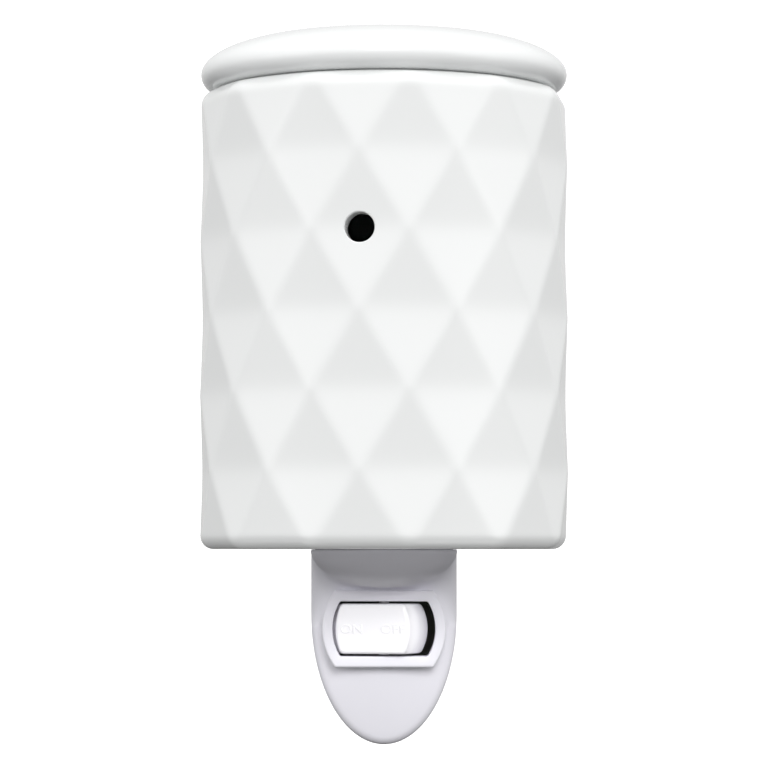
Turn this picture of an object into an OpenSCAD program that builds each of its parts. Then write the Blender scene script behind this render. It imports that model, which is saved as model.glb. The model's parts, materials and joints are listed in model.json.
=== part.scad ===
/* [Shade] */
// Radius of the shade at the high points of its relief
shade_r = 40; // [38:0.5:46]
// Height of the shade
shade_h = 100; // [90:1:120]
// Diamonds once round the shade
diamonds = 12; // [10:1:16]
// Rows of half diamonds up the shade
relief_rows = 6; // [4:1:8]
// Radius of the round space inside the shade
shade_inner_r = 34; // [32:0.5:34]
// Thickness of the shade's floor
shade_floor_t = 5; // [4:0.5:7]
// Diameter of the vent hole in the shade's wall
vent_d = 6.3; // [4:0.1:9]
// Free space between the back of the shade and the wall
wall_gap = 4; // [3:0.5:10]

/* [Dish] */
// Depth of the melting bowl, from its ridge to its floor
bowl_depth = 21.8; // [16:0.2:22]
// Thickness of the bowl's floor
bowl_floor_t = 4; // [3:0.5:5]

/* [Plug housing] */
// Width of the plug housing
house_w = 33; // [32:0.5:36]
// Drop of the housing's tip below the shade
house_drop = 44; // [42:0.5:50]
// Length of the housing's straight sides below the shade
house_straight = 14.2; // [12:0.2:18]
// Depth of the housing from the wall to its front
house_d = 34; // [34:0.5:36]
// Thickness of the housing's walls
wall_t = 1.8; // [1.6:0.1:2]
// Drop of the arm's round underside below the shade
arm_drop = 8.5; // [8:0.1:9]
// Height of the shade's underside above the plug's axis
shade_base_z = 17.5; // [17:0.1:19]

/* [Switch] */
// Width of the bezel across its round ends
bezel_w = 27.3; // [27:0.1:28]
// Height of the bezel
bezel_h = 17; // [16.8:0.1:18]
// Swing of the rocker from ON to OFF, in degrees
rocker_swing = 25; // [20:0.5:25]

/* [Plug] */
// Thickness of a blade
blade_t = 1.52; // [1.4:0.01:1.65]
// Length of a blade outside the housing
blade_out = 16.5; // [15.9:0.1:18]
// Width of the line blade
line_blade_w = 6.35; // [6:0.05:6.5]
// Width of the wider neutral blade
neutral_blade_w = 7.94; // [7.8:0.01:8.3]
// Distance between the middles of the two blades
blade_pitch = 12.7; // [12.6:0.1:12.8]

/* [Hidden] */
$fn = 64;
eps = 0.01;
// How far a cutter reaches past the face that it opens, and a root into what it grows from
over = 1;

// Frame: the origin is the middle of the plug's face, the wall is the plane y = 0,
// +X is the viewer's right, +Y goes into the wall, and +Z is up
axis_y = -(shade_r + wall_gap);
shade_top_z = shade_base_z + shade_h;
nose_r = 3.4;
nose_z = shade_top_z + nose_r;

// Shade
columns = 2 * diamonds;
row_h = shade_h / relief_rows;
low_r = shade_r * cos(180 / diamonds);
top_round = 3.4;
bottom_round = 3;
round_steps = 3;
floor_hole_r = 11.5;
vent_column = -1;
vent_row = 4;
rim_chamfer = 0.5;

// Dish
lip_mid_r = shade_r - nose_r;
ridge_r = 26;
ridge_h = 7.4;
crown_across = 1.35;
crown_up = 2.1;
mouth_round = 1.6;
bowl_floor_r = 16;
bowl_fillet = 8;
bowl_play = 1.1;
bowl_outer_r = shade_inner_r - bowl_play;
bowl_side_round = 12;
bowl_side_z = -6.5;
bowl_foot_r = 20;
bowl_foot_round = 5;
bowl_bottom = ridge_h - bowl_depth - bowl_floor_t;

// Plug housing
house_half = house_w / 2;
tip_b = house_drop - house_straight;
side_end_z = shade_base_z - house_straight;
house_top_z = shade_base_z - 0.2;
part_d = 12;
rear_wall_t = 2;
side_power = 5;
tip_power = 2.9;
tip_steps = 20;
dome_steps = 8;
dome_end = 0.995;
arm_half = 16;
arm_steps = 16;
neck_r = 11;
neck_bore_r = 9.3;
neck_top_z = 31;
neck_root = 4;
neck_floor_z = house_top_z - arm_drop + wall_t + 1.5;
shell_start_d = 25;
boss_l = 12.5;
boss_inset = 0.5;
joint_lap = 2;
gasket_r = 15;
gasket_seat = 0.8;
gasket_cut = 5;
ring_play = 0.2;
nut_play = 0.1;
washer_t = 0.8;
washer_r = 17.5;
nut_h = 6;
nut_flange_t = 2;
nut_flange_r = 17;
nut_body_r = 14.4;
nut_notches = 8;
notch_r = 1.3;

// Housing screws, as places on the wall plane
screw_spots = [[-12.2, 12.8], [12.2, 12.8], [0, -20.4]];
boss_r = 3;
screw_head_r = 2.4;
screw_shank_r = 1.2;
screw_seat_d = 3.2;
screw_head_t = 2;
screw_head_play = 0.2;
screw_shank_play = 0.3;
screw_end_d = 19;
pilot_play = 0.05;
pilot_end_d = 20.4;
slot = [0.6, 2, 2.6];

// Switch
pivot_y = -25.6;
bezel_front_d = 35.8;
bezel_back_d = 34.2;
opening_w = 22.7;
opening_h = 12.06;
skirt_w = 24.7;
skirt_h = 13.8;
skirt_end_d = 27.6;
skirt_play = 0.1;
seat_w = 26.8;
seat_h = 16.5;
front_cut = 20;
barrel_bulge = 2.85;
opening_bulge = 1.7;
switch_half_w = 12.9;
switch_half_h = 6.9;
switch_wall = 0.9;
switch_back_d = 16.5;
switch_floor_t = 1.5;
rocker_half_h = 5.5;
rocker_end_r = 10.25;
rocker_end_shift = 0.3;
rocker_face = 12;
rocker_face_half = 7.8;
rocker_shoulder = 9;
rocker_shoulder_half = 9.6;
rocker_back = 3;
rocker_web_w = 4;
rocker_blank_w = 40;
rocker_hub_r = 2.8;
nose_half_w = 1.9;
nose_half_h = 2.5;
nose_end = 3.4;
plunger_bore_r = 1.3;
plunger_bore_l = 10;
plunger_r = 1.2;
plunger_tip = 5.2;
plunger_root = 0.5;
spring_r = 0.95;
spring_wire_r = 0.16;
spring_turns = 5;
spring_steps = 10;
spring_sides = 5;
spring_play = 0.02;
pin_r = 1.2;
pin_play = 0.06;
pin_end_gap = 0.2;
bar_swing = 7;
bar_gap = 0.1;
bar_y = pivot_y + plunger_tip + bar_gap;
bar_t = 0.5;
bar_half_w = 5.4;
bar_half_h = 2;
bar_heel_y = bar_y + bar_t;
groove_r = 0.42;
groove_y = 0.25;
fulcrum_r = 0.35;
fulcrum_foot = 0.5;
load_x = 4.6;
load_gap = 0.12;
load_button_r = 1.1;
load_button_t = 0.6;
load_foot = 0.3;
tail_end_y = -13.6;
tail_t = 0.6;
tail_half_h = 1.5;
tail_slot_l = 3;

// Lamp
holder_r = 9.1;
holder_bottom_z = 22.5;
holder_flange_z = neck_top_z;
holder_flange_t = 2.2;
holder_rim_z = 46;
holder_cavity_r = 6.9;
holder_cavity_z = 28.5;
holder_screw_x = 10;
holder_screw_r = 0.5;
holder_screw_l = 3;
holder_screw_end = 0.3;
holder_screw_head_r = 0.85;
holder_screw_head_t = 0.8;
holder_play = 0.1;
center_tail_x = 3;
center_tail_half = 0.9;
shell_tail_x = -5;
shell_floor_r = 5;
shell_floor_z = holder_cavity_z + 1.4;
shell_rim_z = holder_rim_z - 0.6;
tail_hole_r = 1.25;
lamp_tail_z = 19.5;
leaf_strip_t = 0.4;
leaf_strip_half = 1.5;
leaf_strip_x = 2;
leaf_gap = 0.05;
thread_pitch = 2.54;
bulb_tip_z = 30.5;
bulb_length = 54;
base_crest_r = 5.9;
base_root_r = 5.45;
base_low_z = 34;
base_high_z = 46.4;
base_collar = 2.4;
base_foot_r = 4.4;
base_wall = 0.35;
tip_low_r = 1.4;
tip_high_r = 2;
tip_t = 0.8;
insulator_r = 2.2;
insulator_top_z = base_low_z - 0.4;
shell_gap = 0.3;
shell_wall = 0.35;
glass_neck_r = 5.4;
glass_r = 11;
glass_wall = 0.7;
glass_low_z = 45.6;
glass_edge = 0.5;
glass_belly = 0.42;
shoulder_power = 1.6;
crown_r_power = 0.85;
crown_z_power = 1.15;
bulb_top_z = bulb_tip_z + bulb_length;
stem_foot_r = 3.6;
stem_r = 1.6;
stem_foot_h = 5;
stem_h = 6;
lead_r = 0.18;
lead_foot_x = 1;
lead_bend_x = 1.4;
lead_foot_h = 1.1;
lead_bend_h = 3;
filament_z = 66;
filament_half = 4;
filament_r = 0.15;
filament_coil_r = 0.25;
filament_turn = 135;
filament_steps = 8;
thin_sides = 5;

// Plug hub and its contacts
hub_face_r = 13.1;
hub_face_t = 0.9;
hub_face_play = 0.15;
hub_face_gap = 0.1;
hub_r = 11.5;
hub_play = 0.08;
hub_bore_r = hub_r + hub_play;
hub_boss_r = 13.8;
hub_boss_d = 3.2;
hub_inner_d = 7;
clip_low_d = 3.35;
clip_high_d = 4.15;
clip_groove_r = 10.7;
clip_r = 12.6;
clip_play = 0.05;
clip_gap = 60;
lug_angle = -45;
lug_width = 12;
lug_low_d = 4.6;
lug_high_d = 6.4;
lug_r = 13.9;
stop_low_r = 12.9;
stop_high_r = 14.2;
stop_width = 10;
stop_play = 1;
swivel = 90;
stop_reach = (lug_width + stop_width) / 2 + stop_play;
stop_angles = [lug_angle + stop_reach, lug_angle - swivel - stop_reach];
blade_bevel = 1.2;
leg_low_d = 4.2;
leg_high_d = 5.0;
leg_half_h = 1.6;
ring_in_r = 5.2;
ring_out_r = 8.6;
slip_t = 0.8;
stud_r = 1.6;
stud_head_r = 3.2;
board_low_d = 10.4;
board_high_d = 12;
board_half_w = 14.2;
board_half_h = 8;
post_in_x = 13.1;
post_half_h = 3;
leaf_t = 0.3;
leaf_half_w = 1.5;
leaf_touch_d = hub_inner_d + slip_t + 0.06;
leaf_touch_half = 0.4;
leaf_rise = 0.5;
leaf_foot = 1;
leaf_bend = 2;
tab_x = 4;
tab_half_t = 0.3;
tab_half_h = 1;
tab_play = 0.1;
tab_end_d = board_high_d + 1.6;
line_tab_z = 6.9;
line_touch_x = -3;
neutral_tab_z = -6.4;
neutral_foot_z = 5.6;
bridge_low_z = -7.4;
bridge_high_z = -6.2;
wire_r = 0.8;
wire_sides = 8;
wire_steps = 3;
weld_gap = 0.01;
tab_wire_d = 13;
tail_wire_d = 14.4;

// Colours
ceramic_white = [0.93, 0.94, 0.94];
plastic_white = [0.92, 0.91, 0.94];
rocker_white = [0.97, 0.96, 0.99];
fibre_grey = [0.55, 0.53, 0.50];
silicone_grey = [0.75, 0.75, 0.76];
brass = [0.80, 0.66, 0.36];
steel = [0.72, 0.73, 0.75];
bronze = [0.76, 0.52, 0.30];
dark_glass = [0.10, 0.10, 0.12];
clear_glass = [0.85, 0.90, 0.95, 0.4];
board_brown = [0.55, 0.36, 0.18];
switch_grey = [0.22, 0.23, 0.20];
line_black = [0.12, 0.12, 0.12];
neutral_white = [0.88, 0.88, 0.86];
holder_cream = [0.90, 0.90, 0.88];

// Points on an arc in the plane, from angle a0 to angle a1
function arc(cx, cy, r, a0, a1, n) =
  [for (i = [0:n]) let(a = a0 + (a1 - a0) * i / n) [cx + r * cos(a), cy + r * sin(a)]];

// Turns a depth from the wall into a place: children drawn upright on z = 0 come to stand
// on the plane y = -d and rise away from the wall
module from_wall(d) translate([0, -d, 0]) rotate([90, 0, 0]) children();

// A block between two depths from the wall
module block(x0, x1, d0, d1, z0, z1) translate([x0, -d1, z0]) cube([x1 - x0, d1 - d0, z1 - z0]);

// A closed skin over a stack of rings that all have the same number of points
module skin(rings) {
  n = len(rings[0]);
  last = len(rings) - 1;
  middle = function(ring) [for (k = [0:2]) [for (p = ring) p[k]] * [for (p = ring) 1 / n]];
  points = concat([for (ring = rings) each ring], [middle(rings[0]), middle(rings[last])]);
  side = [
    for (j = [0:last - 1]) for (i = [0:n - 1])
      let(a = j * n + i, b = j * n + (i + 1) % n)
        each [[a, b, b + n], [a, b + n, a + n]]
  ];
  low_cap = [for (i = [0:n - 1]) [len(points) - 2, (i + 1) % n, i]];
  high_cap = [for (i = [0:n - 1]) [len(points) - 1, last * n + i, last * n + (i + 1) % n]];
  polyhedron(points = points, faces = concat(side, low_cap, high_cap));
}

// Smooth path through a few points: each corner is rounded by a curve between mid-points
function smooth_path(p) = concat(
  [p[0]],
  [
    for (i = [1:len(p) - 2]) for (k = [0:wire_steps])
      let(t = k / wire_steps, a = (p[i - 1] + p[i]) / 2, b = (p[i] + p[i + 1]) / 2)
        (1 - t) ^ 2 * a + 2 * t * (1 - t) * p[i] + t ^ 2 * b
  ],
  [p[len(p) - 1]]
);
function unit(v) = v / norm(v);
function path_dir(p, i) = unit(p[min(i + 1, len(p) - 1)] - p[max(i - 1, 0)]);
function start_normal(d) = unit(cross(d, abs(d.x) < 0.7 ? [1, 0, 0] : [0, 1, 0]));
function carried(n, d) = unit(n - d * (n * d));
function normals(p, i = 0, last = [0, 0, 0]) =
  i == len(p) ? [] :
  let(d = path_dir(p, i), n = i == 0 ? start_normal(d) : carried(last, d))
    concat([n], normals(p, i + 1, n));

// A round rod swept along a path
module rod_along(p, r, sides) {
  n = normals(p);
  skin([
    for (i = [0:len(p) - 1]) let(d = path_dir(p, i), u = n[i], v = cross(d, u))
      [for (k = [0:sides - 1]) let(a = -360 * k / sides) p[i] + r * (cos(a) * u + sin(a) * v)]
  ]);
}

// Dish: the lip's round nose is the height zero of its outline, and its crown swells up to the ridge
function crown_point(share) =
  [ridge_r + (shade_r - ridge_r) * share, ridge_h * (1 - share ^ crown_across) ^ (1 / crown_up)];
dish_outline = concat(
  [[0, bowl_bottom], [bowl_foot_r, bowl_bottom]],
  arc(bowl_foot_r, bowl_bottom + bowl_foot_round, bowl_foot_round, -80, -25, 4),
  arc(bowl_outer_r - bowl_side_round, bowl_side_z, bowl_side_round, -20, 12, 4),
  [[bowl_outer_r, -nose_r], [lip_mid_r, -nose_r]],
  arc(lip_mid_r, 0, nose_r, -75, 0, 6),
  [for (i = [1:9]) crown_point(cos(10 * i))],
  arc(ridge_r, ridge_h - mouth_round, mouth_round, 100, 170, 4),
  arc(bowl_floor_r, bowl_bottom + bowl_floor_t + bowl_fillet, bowl_fillet, 0, -90, 6),
  [[0, bowl_bottom + bowl_floor_t]]
);

module wax_dish() color(ceramic_white)
  translate([0, axis_y, nose_z]) rotate_extrude() polygon(dish_outline);

// Shade: high points and low points take turns round each row and up each column. A level is
// a height, how far its edge is rounded in there, and the row that it lies in or starts
function column_a(c) = (c + 0.5) * 360 / columns;
function is_high(c, row) = (c + row) % 2 == 0;
function row_r(c, row) = is_high(c, row) ? shade_r : low_r;
function relief_r(c, z) = let(row = min(floor(z / row_h + eps), relief_rows - 1), t = z / row_h - row)
  row_r(c, row) * (1 - t) + row_r(c, row + 1) * t;
relief_levels = concat(
  [for (i = [0:round_steps]) let(a = 90 * i / round_steps)
    [bottom_round * (1 - cos(a)), bottom_round * (1 - sin(a)), 0]],
  [for (row = [1:relief_rows - 1]) [row * row_h, 0, row]],
  [for (i = [0:round_steps]) let(a = 90 * i / round_steps)
    [shade_h - top_round * (1 - sin(a)), top_round * (1 - cos(a)), relief_rows - 1]]
);
last_level = len(relief_levels) - 1;
relief_points = concat(
  [for (level = relief_levels) for (c = [0:columns - 1])
    let(a = column_a(c), r = relief_r(c, level[0]) - level[1]) [r * sin(a), -r * cos(a), level[0]]],
  [[0, 0, 0], [0, 0, shade_h]]
);
relief_sides = [
  for (j = [0:last_level - 1]) for (c = [0:columns - 1])
    let(
      a = j * columns + c, b = j * columns + (c + 1) % columns,
      a_up = a + columns, b_up = b + columns
    )
      each is_high(c, relief_levels[j][2])
        ? [[a, a_up, b_up], [a, b_up, b]]
        : [[a, a_up, b], [a_up, b_up, b]]
];
relief_mid = (last_level + 1) * columns;
relief_ends = [
  for (c = [0:columns - 1])
    let(next = (c + 1) % columns, top = last_level * columns)
      each [[relief_mid, c, next], [relief_mid + 1, top + next, top + c]]
];
vent_a = column_a(vent_column);
vent_z = vent_row * row_h;

module ceramic_shade() color(ceramic_white) translate([0, axis_y, shade_base_z]) difference() {
  polyhedron(points = relief_points, faces = concat(relief_sides, relief_ends));
  translate([0, 0, shade_floor_t]) cylinder(r = shade_inner_r, h = shade_h);
  translate([0, 0, shade_h - rim_chamfer])
    cylinder(r1 = shade_inner_r, r2 = shade_inner_r + 2 * rim_chamfer, h = 2 * rim_chamfer);
  translate([0, 0, -eps]) cylinder(r = floor_hole_r, h = shade_floor_t + 2 * eps);
  translate([0, 0, vent_z]) rotate([90, 0, vent_a]) cylinder(d = vent_d, h = 2 * shade_r);
}

module ring_plate(r_in, r_out, z, t) translate([0, axis_y, z]) difference() {
  cylinder(r = r_out, h = t);
  translate([0, 0, -over]) cylinder(r = r_in, h = t + 2 * over);
}

module shade_gasket() color(silicone_grey) {
  low = house_top_z - gasket_seat;
  ring_plate(neck_r + ring_play, gasket_r, low, shade_base_z - low);
}

module clamp_washer() color(fibre_grey)
  ring_plate(neck_r + ring_play, washer_r, shade_base_z + shade_floor_t, washer_t);

module clamp_ring_nut() color(plastic_white) {
  low = shade_base_z + shade_floor_t + washer_t;
  difference() {
    union() {
      ring_plate(neck_r + nut_play, nut_flange_r, low, nut_flange_t);
      ring_plate(neck_r + nut_play, nut_body_r, low, nut_h);
    }
    for (i = [1:nut_notches]) translate([0, axis_y, low + nut_flange_t]) rotate(360 * i / nut_notches)
      translate([nut_body_r, 0, 0]) cylinder(r = notch_r, h = nut_h);
  }
}

// Housing outline at one depth: straight sides, a flat top and a half-ellipse tip
function house_ring(half, tip, top, d) = concat(
  [[half, -d, top]],
  [for (i = [0:tip_steps]) let(a = 180 * i / tip_steps)
    [half * cos(a), -d, side_end_z - tip * sin(a)]],
  [[-half, -d, top]]
);
function fade(f, power) = (1 - f ^ power) ^ (1 / power);

// The housing's front: full size at the joint line, round towards its sides and its tip
module house_dome(inset) {
  half = house_half - inset;
  tip = tip_b - inset;
  top = house_top_z - inset;
  reach = house_d - inset - part_d;
  opening = inset > 0 ? [house_ring(half, tip, top, part_d - over)] : [];
  skin(concat(opening, [
    for (i = [0:dome_steps])
      let(f = dome_end * sin(90 * i / dome_steps))
        house_ring(half * fade(f, side_power), tip * fade(f, tip_power), top, part_d + f * reach)
  ]));
}

module house_outline(inset) {
  half = house_half - inset;
  tip = tip_b - inset;
  polygon(concat(
    [[half, house_top_z - inset]],
    [for (i = [0:tip_steps]) let(a = 180 * i / tip_steps) [half * cos(a), side_end_z - tip * sin(a)]],
    [[-half, house_top_z - inset]]
  ));
}

// The arm's section is half an ellipse, and it ends in the same section turned round the shade's axis
function arm_outline(half, drop, from_a) = concat(
  [for (i = [0:arm_steps]) let(a = from_a + (90 - from_a) * i / arm_steps) [half * cos(a), -drop * sin(a)]],
  [[0, 0]]
);
// Its hollow has a wall above and below, so it is lower by twice the inset
module arm(inset, start_d) {
  half = arm_half - inset;
  drop = arm_drop - (shade_base_z - house_top_z) - 2 * inset;
  translate([0, 0, house_top_z - inset]) {
    translate([0, axis_y, 0]) rotate_extrude() polygon(arm_outline(half, drop, 0));
    for (side = [0, 1]) mirror([side, 0, 0]) translate([0, -start_d, 0]) rotate([90, 0, 0])
      linear_extrude(-axis_y - start_d) polygon(arm_outline(half, drop, 0));
  }
}

// A plate with straight long edges and round, bulging ends
module barrel(w, h, bulge) {
  r = (h * h / 4 + bulge * bulge) / (2 * bulge);
  intersection() {
    square([w, h], center = true);
    translate([w / 2 - r, 0]) circle(r);
    translate([r - w / 2, 0]) circle(r);
  }
}

// Places on the wall plane: the three screws, and the two posts that hold the contact board
module at_screws() for (spot = screw_spots) translate([spot.x, 0, spot.y]) children();
module posts(d0, d1) for (side = [0, 1]) mirror([side, 0, 0])
  block(post_in_x, house_half, d0, d1, -post_half_h, post_half_h);

module shell_inside() difference() {
  house_dome(wall_t);
  at_screws() from_wall(part_d - joint_lap) cylinder(r = boss_r, h = boss_l);
  posts(part_d - joint_lap, part_d + joint_lap);
}

module switch_pocket() block(
  -switch_half_w - skirt_play, switch_half_w + skirt_play, part_d, skirt_end_d + skirt_play,
  -switch_half_h - skirt_play, switch_half_h + skirt_play
);

module front_shell() color(plastic_white) difference() {
  union() {
    house_dome(0);
    arm(0, part_d + joint_lap);
    translate([0, axis_y, house_top_z - neck_root])
      cylinder(r = neck_r, h = neck_top_z - house_top_z + neck_root);
    from_wall(shell_start_d) linear_extrude(bezel_back_d - shell_start_d)
      barrel(seat_w, seat_h, barrel_bulge);
  }
  shell_inside();
  arm(wall_t, part_d + over);
  switch_pocket();
  translate([0, axis_y, neck_floor_z]) cylinder(r = neck_bore_r, h = neck_top_z);
  for (x = [-holder_screw_x, holder_screw_x]) translate([x, axis_y, neck_top_z - holder_screw_l])
    cylinder(r = holder_screw_r + pilot_play, h = holder_screw_l + over);
  translate([0, axis_y, house_top_z - gasket_seat]) difference() {
    cylinder(r = gasket_r, h = gasket_cut);
    cylinder(r = neck_r, h = gasket_cut);
  }
  from_wall(skirt_end_d - over) linear_extrude(front_cut)
    barrel(skirt_w + 2 * skirt_play, skirt_h + 2 * skirt_play, opening_bulge);
  at_screws() from_wall(part_d - over) cylinder(r = screw_shank_r + pilot_play, h = pilot_end_d - part_d);
}

module rear_shell() color(plastic_white) difference() {
  union() {
    difference() {
      from_wall(0) linear_extrude(part_d) house_outline(0);
      from_wall(rear_wall_t) linear_extrude(part_d) house_outline(wall_t);
    }
    intersection() {
      from_wall(0) linear_extrude(part_d) house_outline(boss_inset);
      union() {
        from_wall(over) cylinder(r = hub_boss_r, h = hub_boss_d - over);
        at_screws() from_wall(over) cylinder(r = boss_r, h = part_d - over);
        posts(over, board_low_d);
      }
    }
    for (a = stop_angles) from_wall(hub_boss_d - over) rotate(a)
      hub_sector(stop_low_r, stop_high_r, stop_width, lug_high_d - hub_boss_d + over);
  }
  from_wall(-over) cylinder(r = hub_bore_r, h = part_d);
  from_wall(-over) cylinder(r = hub_face_r + hub_face_play, h = over + hub_face_t + hub_face_gap);
  at_screws() from_wall(-over) {
    cylinder(r = screw_head_r + screw_head_play, h = screw_seat_d + over);
    cylinder(r = screw_shank_r + screw_shank_play, h = part_d + 2 * over);
  }
}

module housing_screws() color(steel) at_screws() difference() {
  union() {
    from_wall(screw_seat_d - screw_head_t) cylinder(r = screw_head_r, h = screw_head_t);
    from_wall(screw_seat_d - eps) cylinder(r = screw_shank_r, h = screw_end_d - screw_seat_d);
  }
  for (turn = [0, 90]) translate([0, -screw_seat_d + screw_head_t, 0]) rotate([0, turn, 0])
    cube(slot, center = true);
}

// A piece of a ring, its middle on +X
module hub_sector(r_in, r_out, width, h)
  rotate(-width / 2) rotate_extrude(angle = width) translate([r_in, 0]) square([r_out - r_in, h]);

// Switch
module switch_bezel() color(plastic_white) difference() {
  union() {
    from_wall(bezel_back_d) linear_extrude(bezel_front_d - bezel_back_d)
      barrel(bezel_w, bezel_h, barrel_bulge);
    from_wall(skirt_end_d) linear_extrude(bezel_back_d - skirt_end_d + eps)
      barrel(skirt_w, skirt_h, opening_bulge);
  }
  from_wall(skirt_end_d - over) linear_extrude(front_cut) barrel(opening_w, opening_h, opening_bulge);
}

module switch_body() color(switch_grey) difference() {
  block(-switch_half_w, switch_half_w, switch_back_d, skirt_end_d, -switch_half_h, switch_half_h);
  block(
    -switch_half_w + switch_wall, switch_half_w - switch_wall,
    switch_back_d + switch_floor_t, skirt_end_d + over,
    -switch_half_h + switch_wall, switch_half_h - switch_wall
  );
  translate([0, pivot_y, -switch_half_h - over])
    cylinder(r = pin_r + pin_play, h = 2 * (switch_half_h + over));
  for (x = [0, load_x]) block(
    x - tail_t / 2, x + tail_t / 2, switch_back_d - over, switch_back_d + tail_slot_l,
    -tail_half_h, tail_half_h
  );
}

// Rocker, in its own frame: the pivot is the origin, and it faces -Y until it is turned
module rocker_end(side) {
  outline = [
    [0, rocker_back], [rocker_end_r, rocker_back],
    [rocker_shoulder_half - rocker_end_shift, rocker_shoulder],
    [rocker_face_half - rocker_end_shift, rocker_face], [0, rocker_face],
  ];
  translate([side * rocker_end_shift, 0, 0]) rotate([90, 0, 0]) rotate_extrude() polygon(outline);
}
module as_rocker() translate([0, pivot_y, 0]) rotate(-rocker_swing / 2) children();

module switch_rocker() color(rocker_white) as_rocker() difference() {
  union() {
    intersection() {
      rocker_end(1);
      rocker_end(-1);
      cube([rocker_blank_w, rocker_blank_w, 2 * rocker_half_h], center = true);
    }
    cylinder(r = rocker_hub_r, h = 2 * rocker_half_h, center = true);
    translate([0, -rocker_back / 2, 0])
      cube([rocker_web_w, rocker_back + over, 2 * rocker_half_h], center = true);
    cylinder(r = pin_r, h = 2 * (switch_half_h - pin_end_gap), center = true);
    translate([-nose_half_w, 0, -nose_half_h]) cube([2 * nose_half_w, nose_end, 2 * nose_half_h]);
  }
  translate([0, -rocker_back, 0]) rotate([-90, 0, 0]) cylinder(r = plunger_bore_r, h = plunger_bore_l);
}

module rocker_plunger() color(brass) as_rocker() {
  rotate([-90, 0, 0]) translate([0, 0, plunger_root])
    cylinder(r = plunger_r, h = plunger_tip - plunger_r - plunger_root);
  translate([0, plunger_tip - plunger_r, 0]) sphere(r = plunger_r);
}

module rocker_spring() color(steel) as_rocker() {
  low = -rocker_back + spring_wire_r + spring_play;
  high = plunger_root - spring_wire_r - spring_play;
  count = spring_turns * spring_steps;
  path = [
    for (i = [0:count]) let(a = 360 * i / spring_steps)
      [spring_r * cos(a), low + (high - low) * i / count, spring_r * sin(a)]
  ];
  rod_along(path, spring_wire_r, spring_sides);
}

module contact_bar() color(brass) translate([0, bar_heel_y, 0]) rotate(bar_swing) {
  difference() {
    translate([-bar_half_w, -bar_t, -bar_half_h]) cube([2 * bar_half_w, bar_t, 2 * bar_half_h]);
    translate([0, groove_y, -bar_half_h - over]) cylinder(r = groove_r, h = 2 * (bar_half_h + over));
  }
}

// Each terminal is a strip that goes out through the back of the switch
module terminal_strip(x, end_d)
  block(x - tail_t / 2, x + tail_t / 2, -tail_end_y, end_d, -tail_half_h, tail_half_h);

module common_terminal() color(brass) {
  terminal_strip(0, -bar_heel_y - fulcrum_foot);
  translate([0, bar_heel_y + fulcrum_r, -bar_half_h]) cylinder(r = fulcrum_r, h = 2 * bar_half_h);
}

module load_terminal() color(brass) {
  contact_y = bar_heel_y + load_x * tan(bar_swing) + load_gap;
  terminal_strip(load_x, -contact_y - load_foot);
  translate([load_x, contact_y + load_button_t, 0]) rotate([90, 0, 0])
    cylinder(r = load_button_r, h = load_button_t);
}

// Lamp holder and bulb, round the shade's axis
module lamp_holder() color(holder_cream) difference() {
  translate([0, axis_y, 0]) {
    translate([0, 0, holder_bottom_z]) cylinder(r = holder_r, h = holder_flange_z - holder_bottom_z + over);
    translate([0, 0, holder_flange_z]) cylinder(r = neck_r, h = holder_flange_t);
    translate([0, 0, holder_flange_z + over])
      cylinder(r = holder_r - holder_play, h = holder_rim_z - holder_flange_z - over);
  }
  translate([0, axis_y, holder_cavity_z])
    cylinder(r = holder_cavity_r, h = holder_rim_z - holder_cavity_z + over);
  for (x = [center_tail_x, shell_tail_x]) translate([x, axis_y, holder_bottom_z - over])
    cylinder(r = tail_hole_r, h = holder_cavity_z - holder_bottom_z + 2 * over);
  for (x = [-holder_screw_x, holder_screw_x]) translate([x, axis_y, holder_flange_z - over])
    cylinder(r = holder_screw_r + pilot_play, h = holder_flange_t + 2 * over);
}

module holder_screws() color(steel)
  for (x = [-holder_screw_x, holder_screw_x]) translate([x, axis_y, holder_flange_z]) {
    translate([0, 0, holder_flange_t]) cylinder(r = holder_screw_head_r, h = holder_screw_head_t);
    translate([0, 0, holder_screw_end - holder_screw_l])
      cylinder(r = holder_screw_r, h = holder_flange_t + holder_screw_l);
  }

// A rolled thread, drawn as a wave: one crest a pitch
function thread_wave(z0, z1, low, high, steps = 6) = [
  for (i = [0:ceil((z1 - z0) / thread_pitch * steps)])
    let(z = min(z1, z0 + i * thread_pitch / steps))
      [(low + high) / 2 + (high - low) / 2 * sin(360 * (z - z0) / thread_pitch), z]
];
function reversed(v) = [for (i = [len(v) - 1:-1:0]) v[i]];
function shifted(v, dr) = [for (p = v) [p.x + dr, p.y]];

// A flat strip in the lamp holder, between two places across it and two heights
module strip(x0, x1, half, z0, z1) block(x0, x1, -axis_y - half, -axis_y + half, z0, z1);

module lamp_screw_shell() color(brass) {
  crest = base_crest_r + shell_gap;
  wave = thread_wave(base_low_z, base_high_z - base_collar, base_root_r + shell_gap, crest);
  translate([0, axis_y, 0]) rotate_extrude() polygon(concat(
    [[shell_floor_r, shell_floor_z], [shell_floor_r, shell_floor_z + shell_wall]],
    wave, [[crest, shell_rim_z], [crest + shell_wall, shell_rim_z]],
    reversed(shifted(wave, shell_wall))
  ));
  strip(shell_tail_x - tail_t / 2, shell_tail_x + tail_t / 2, over, lamp_tail_z, shell_floor_z + leaf_gap);
}

module lamp_center_contact() color(bronze) {
  x = leaf_strip_x;
  low_z = holder_cavity_z;
  leaf_z = bulb_tip_z - leaf_gap;
  strip(-x, center_tail_x + 2 * tail_t, leaf_strip_half, low_z, low_z + leaf_strip_t);
  strip(-x, leaf_strip_t - x, leaf_strip_half, low_z, leaf_z);
  strip(-x, x, leaf_strip_half, leaf_z - leaf_strip_t, leaf_z);
  strip(center_tail_x - tail_t / 2, center_tail_x + tail_t / 2, center_tail_half, lamp_tail_z, low_z + eps);
}

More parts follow.
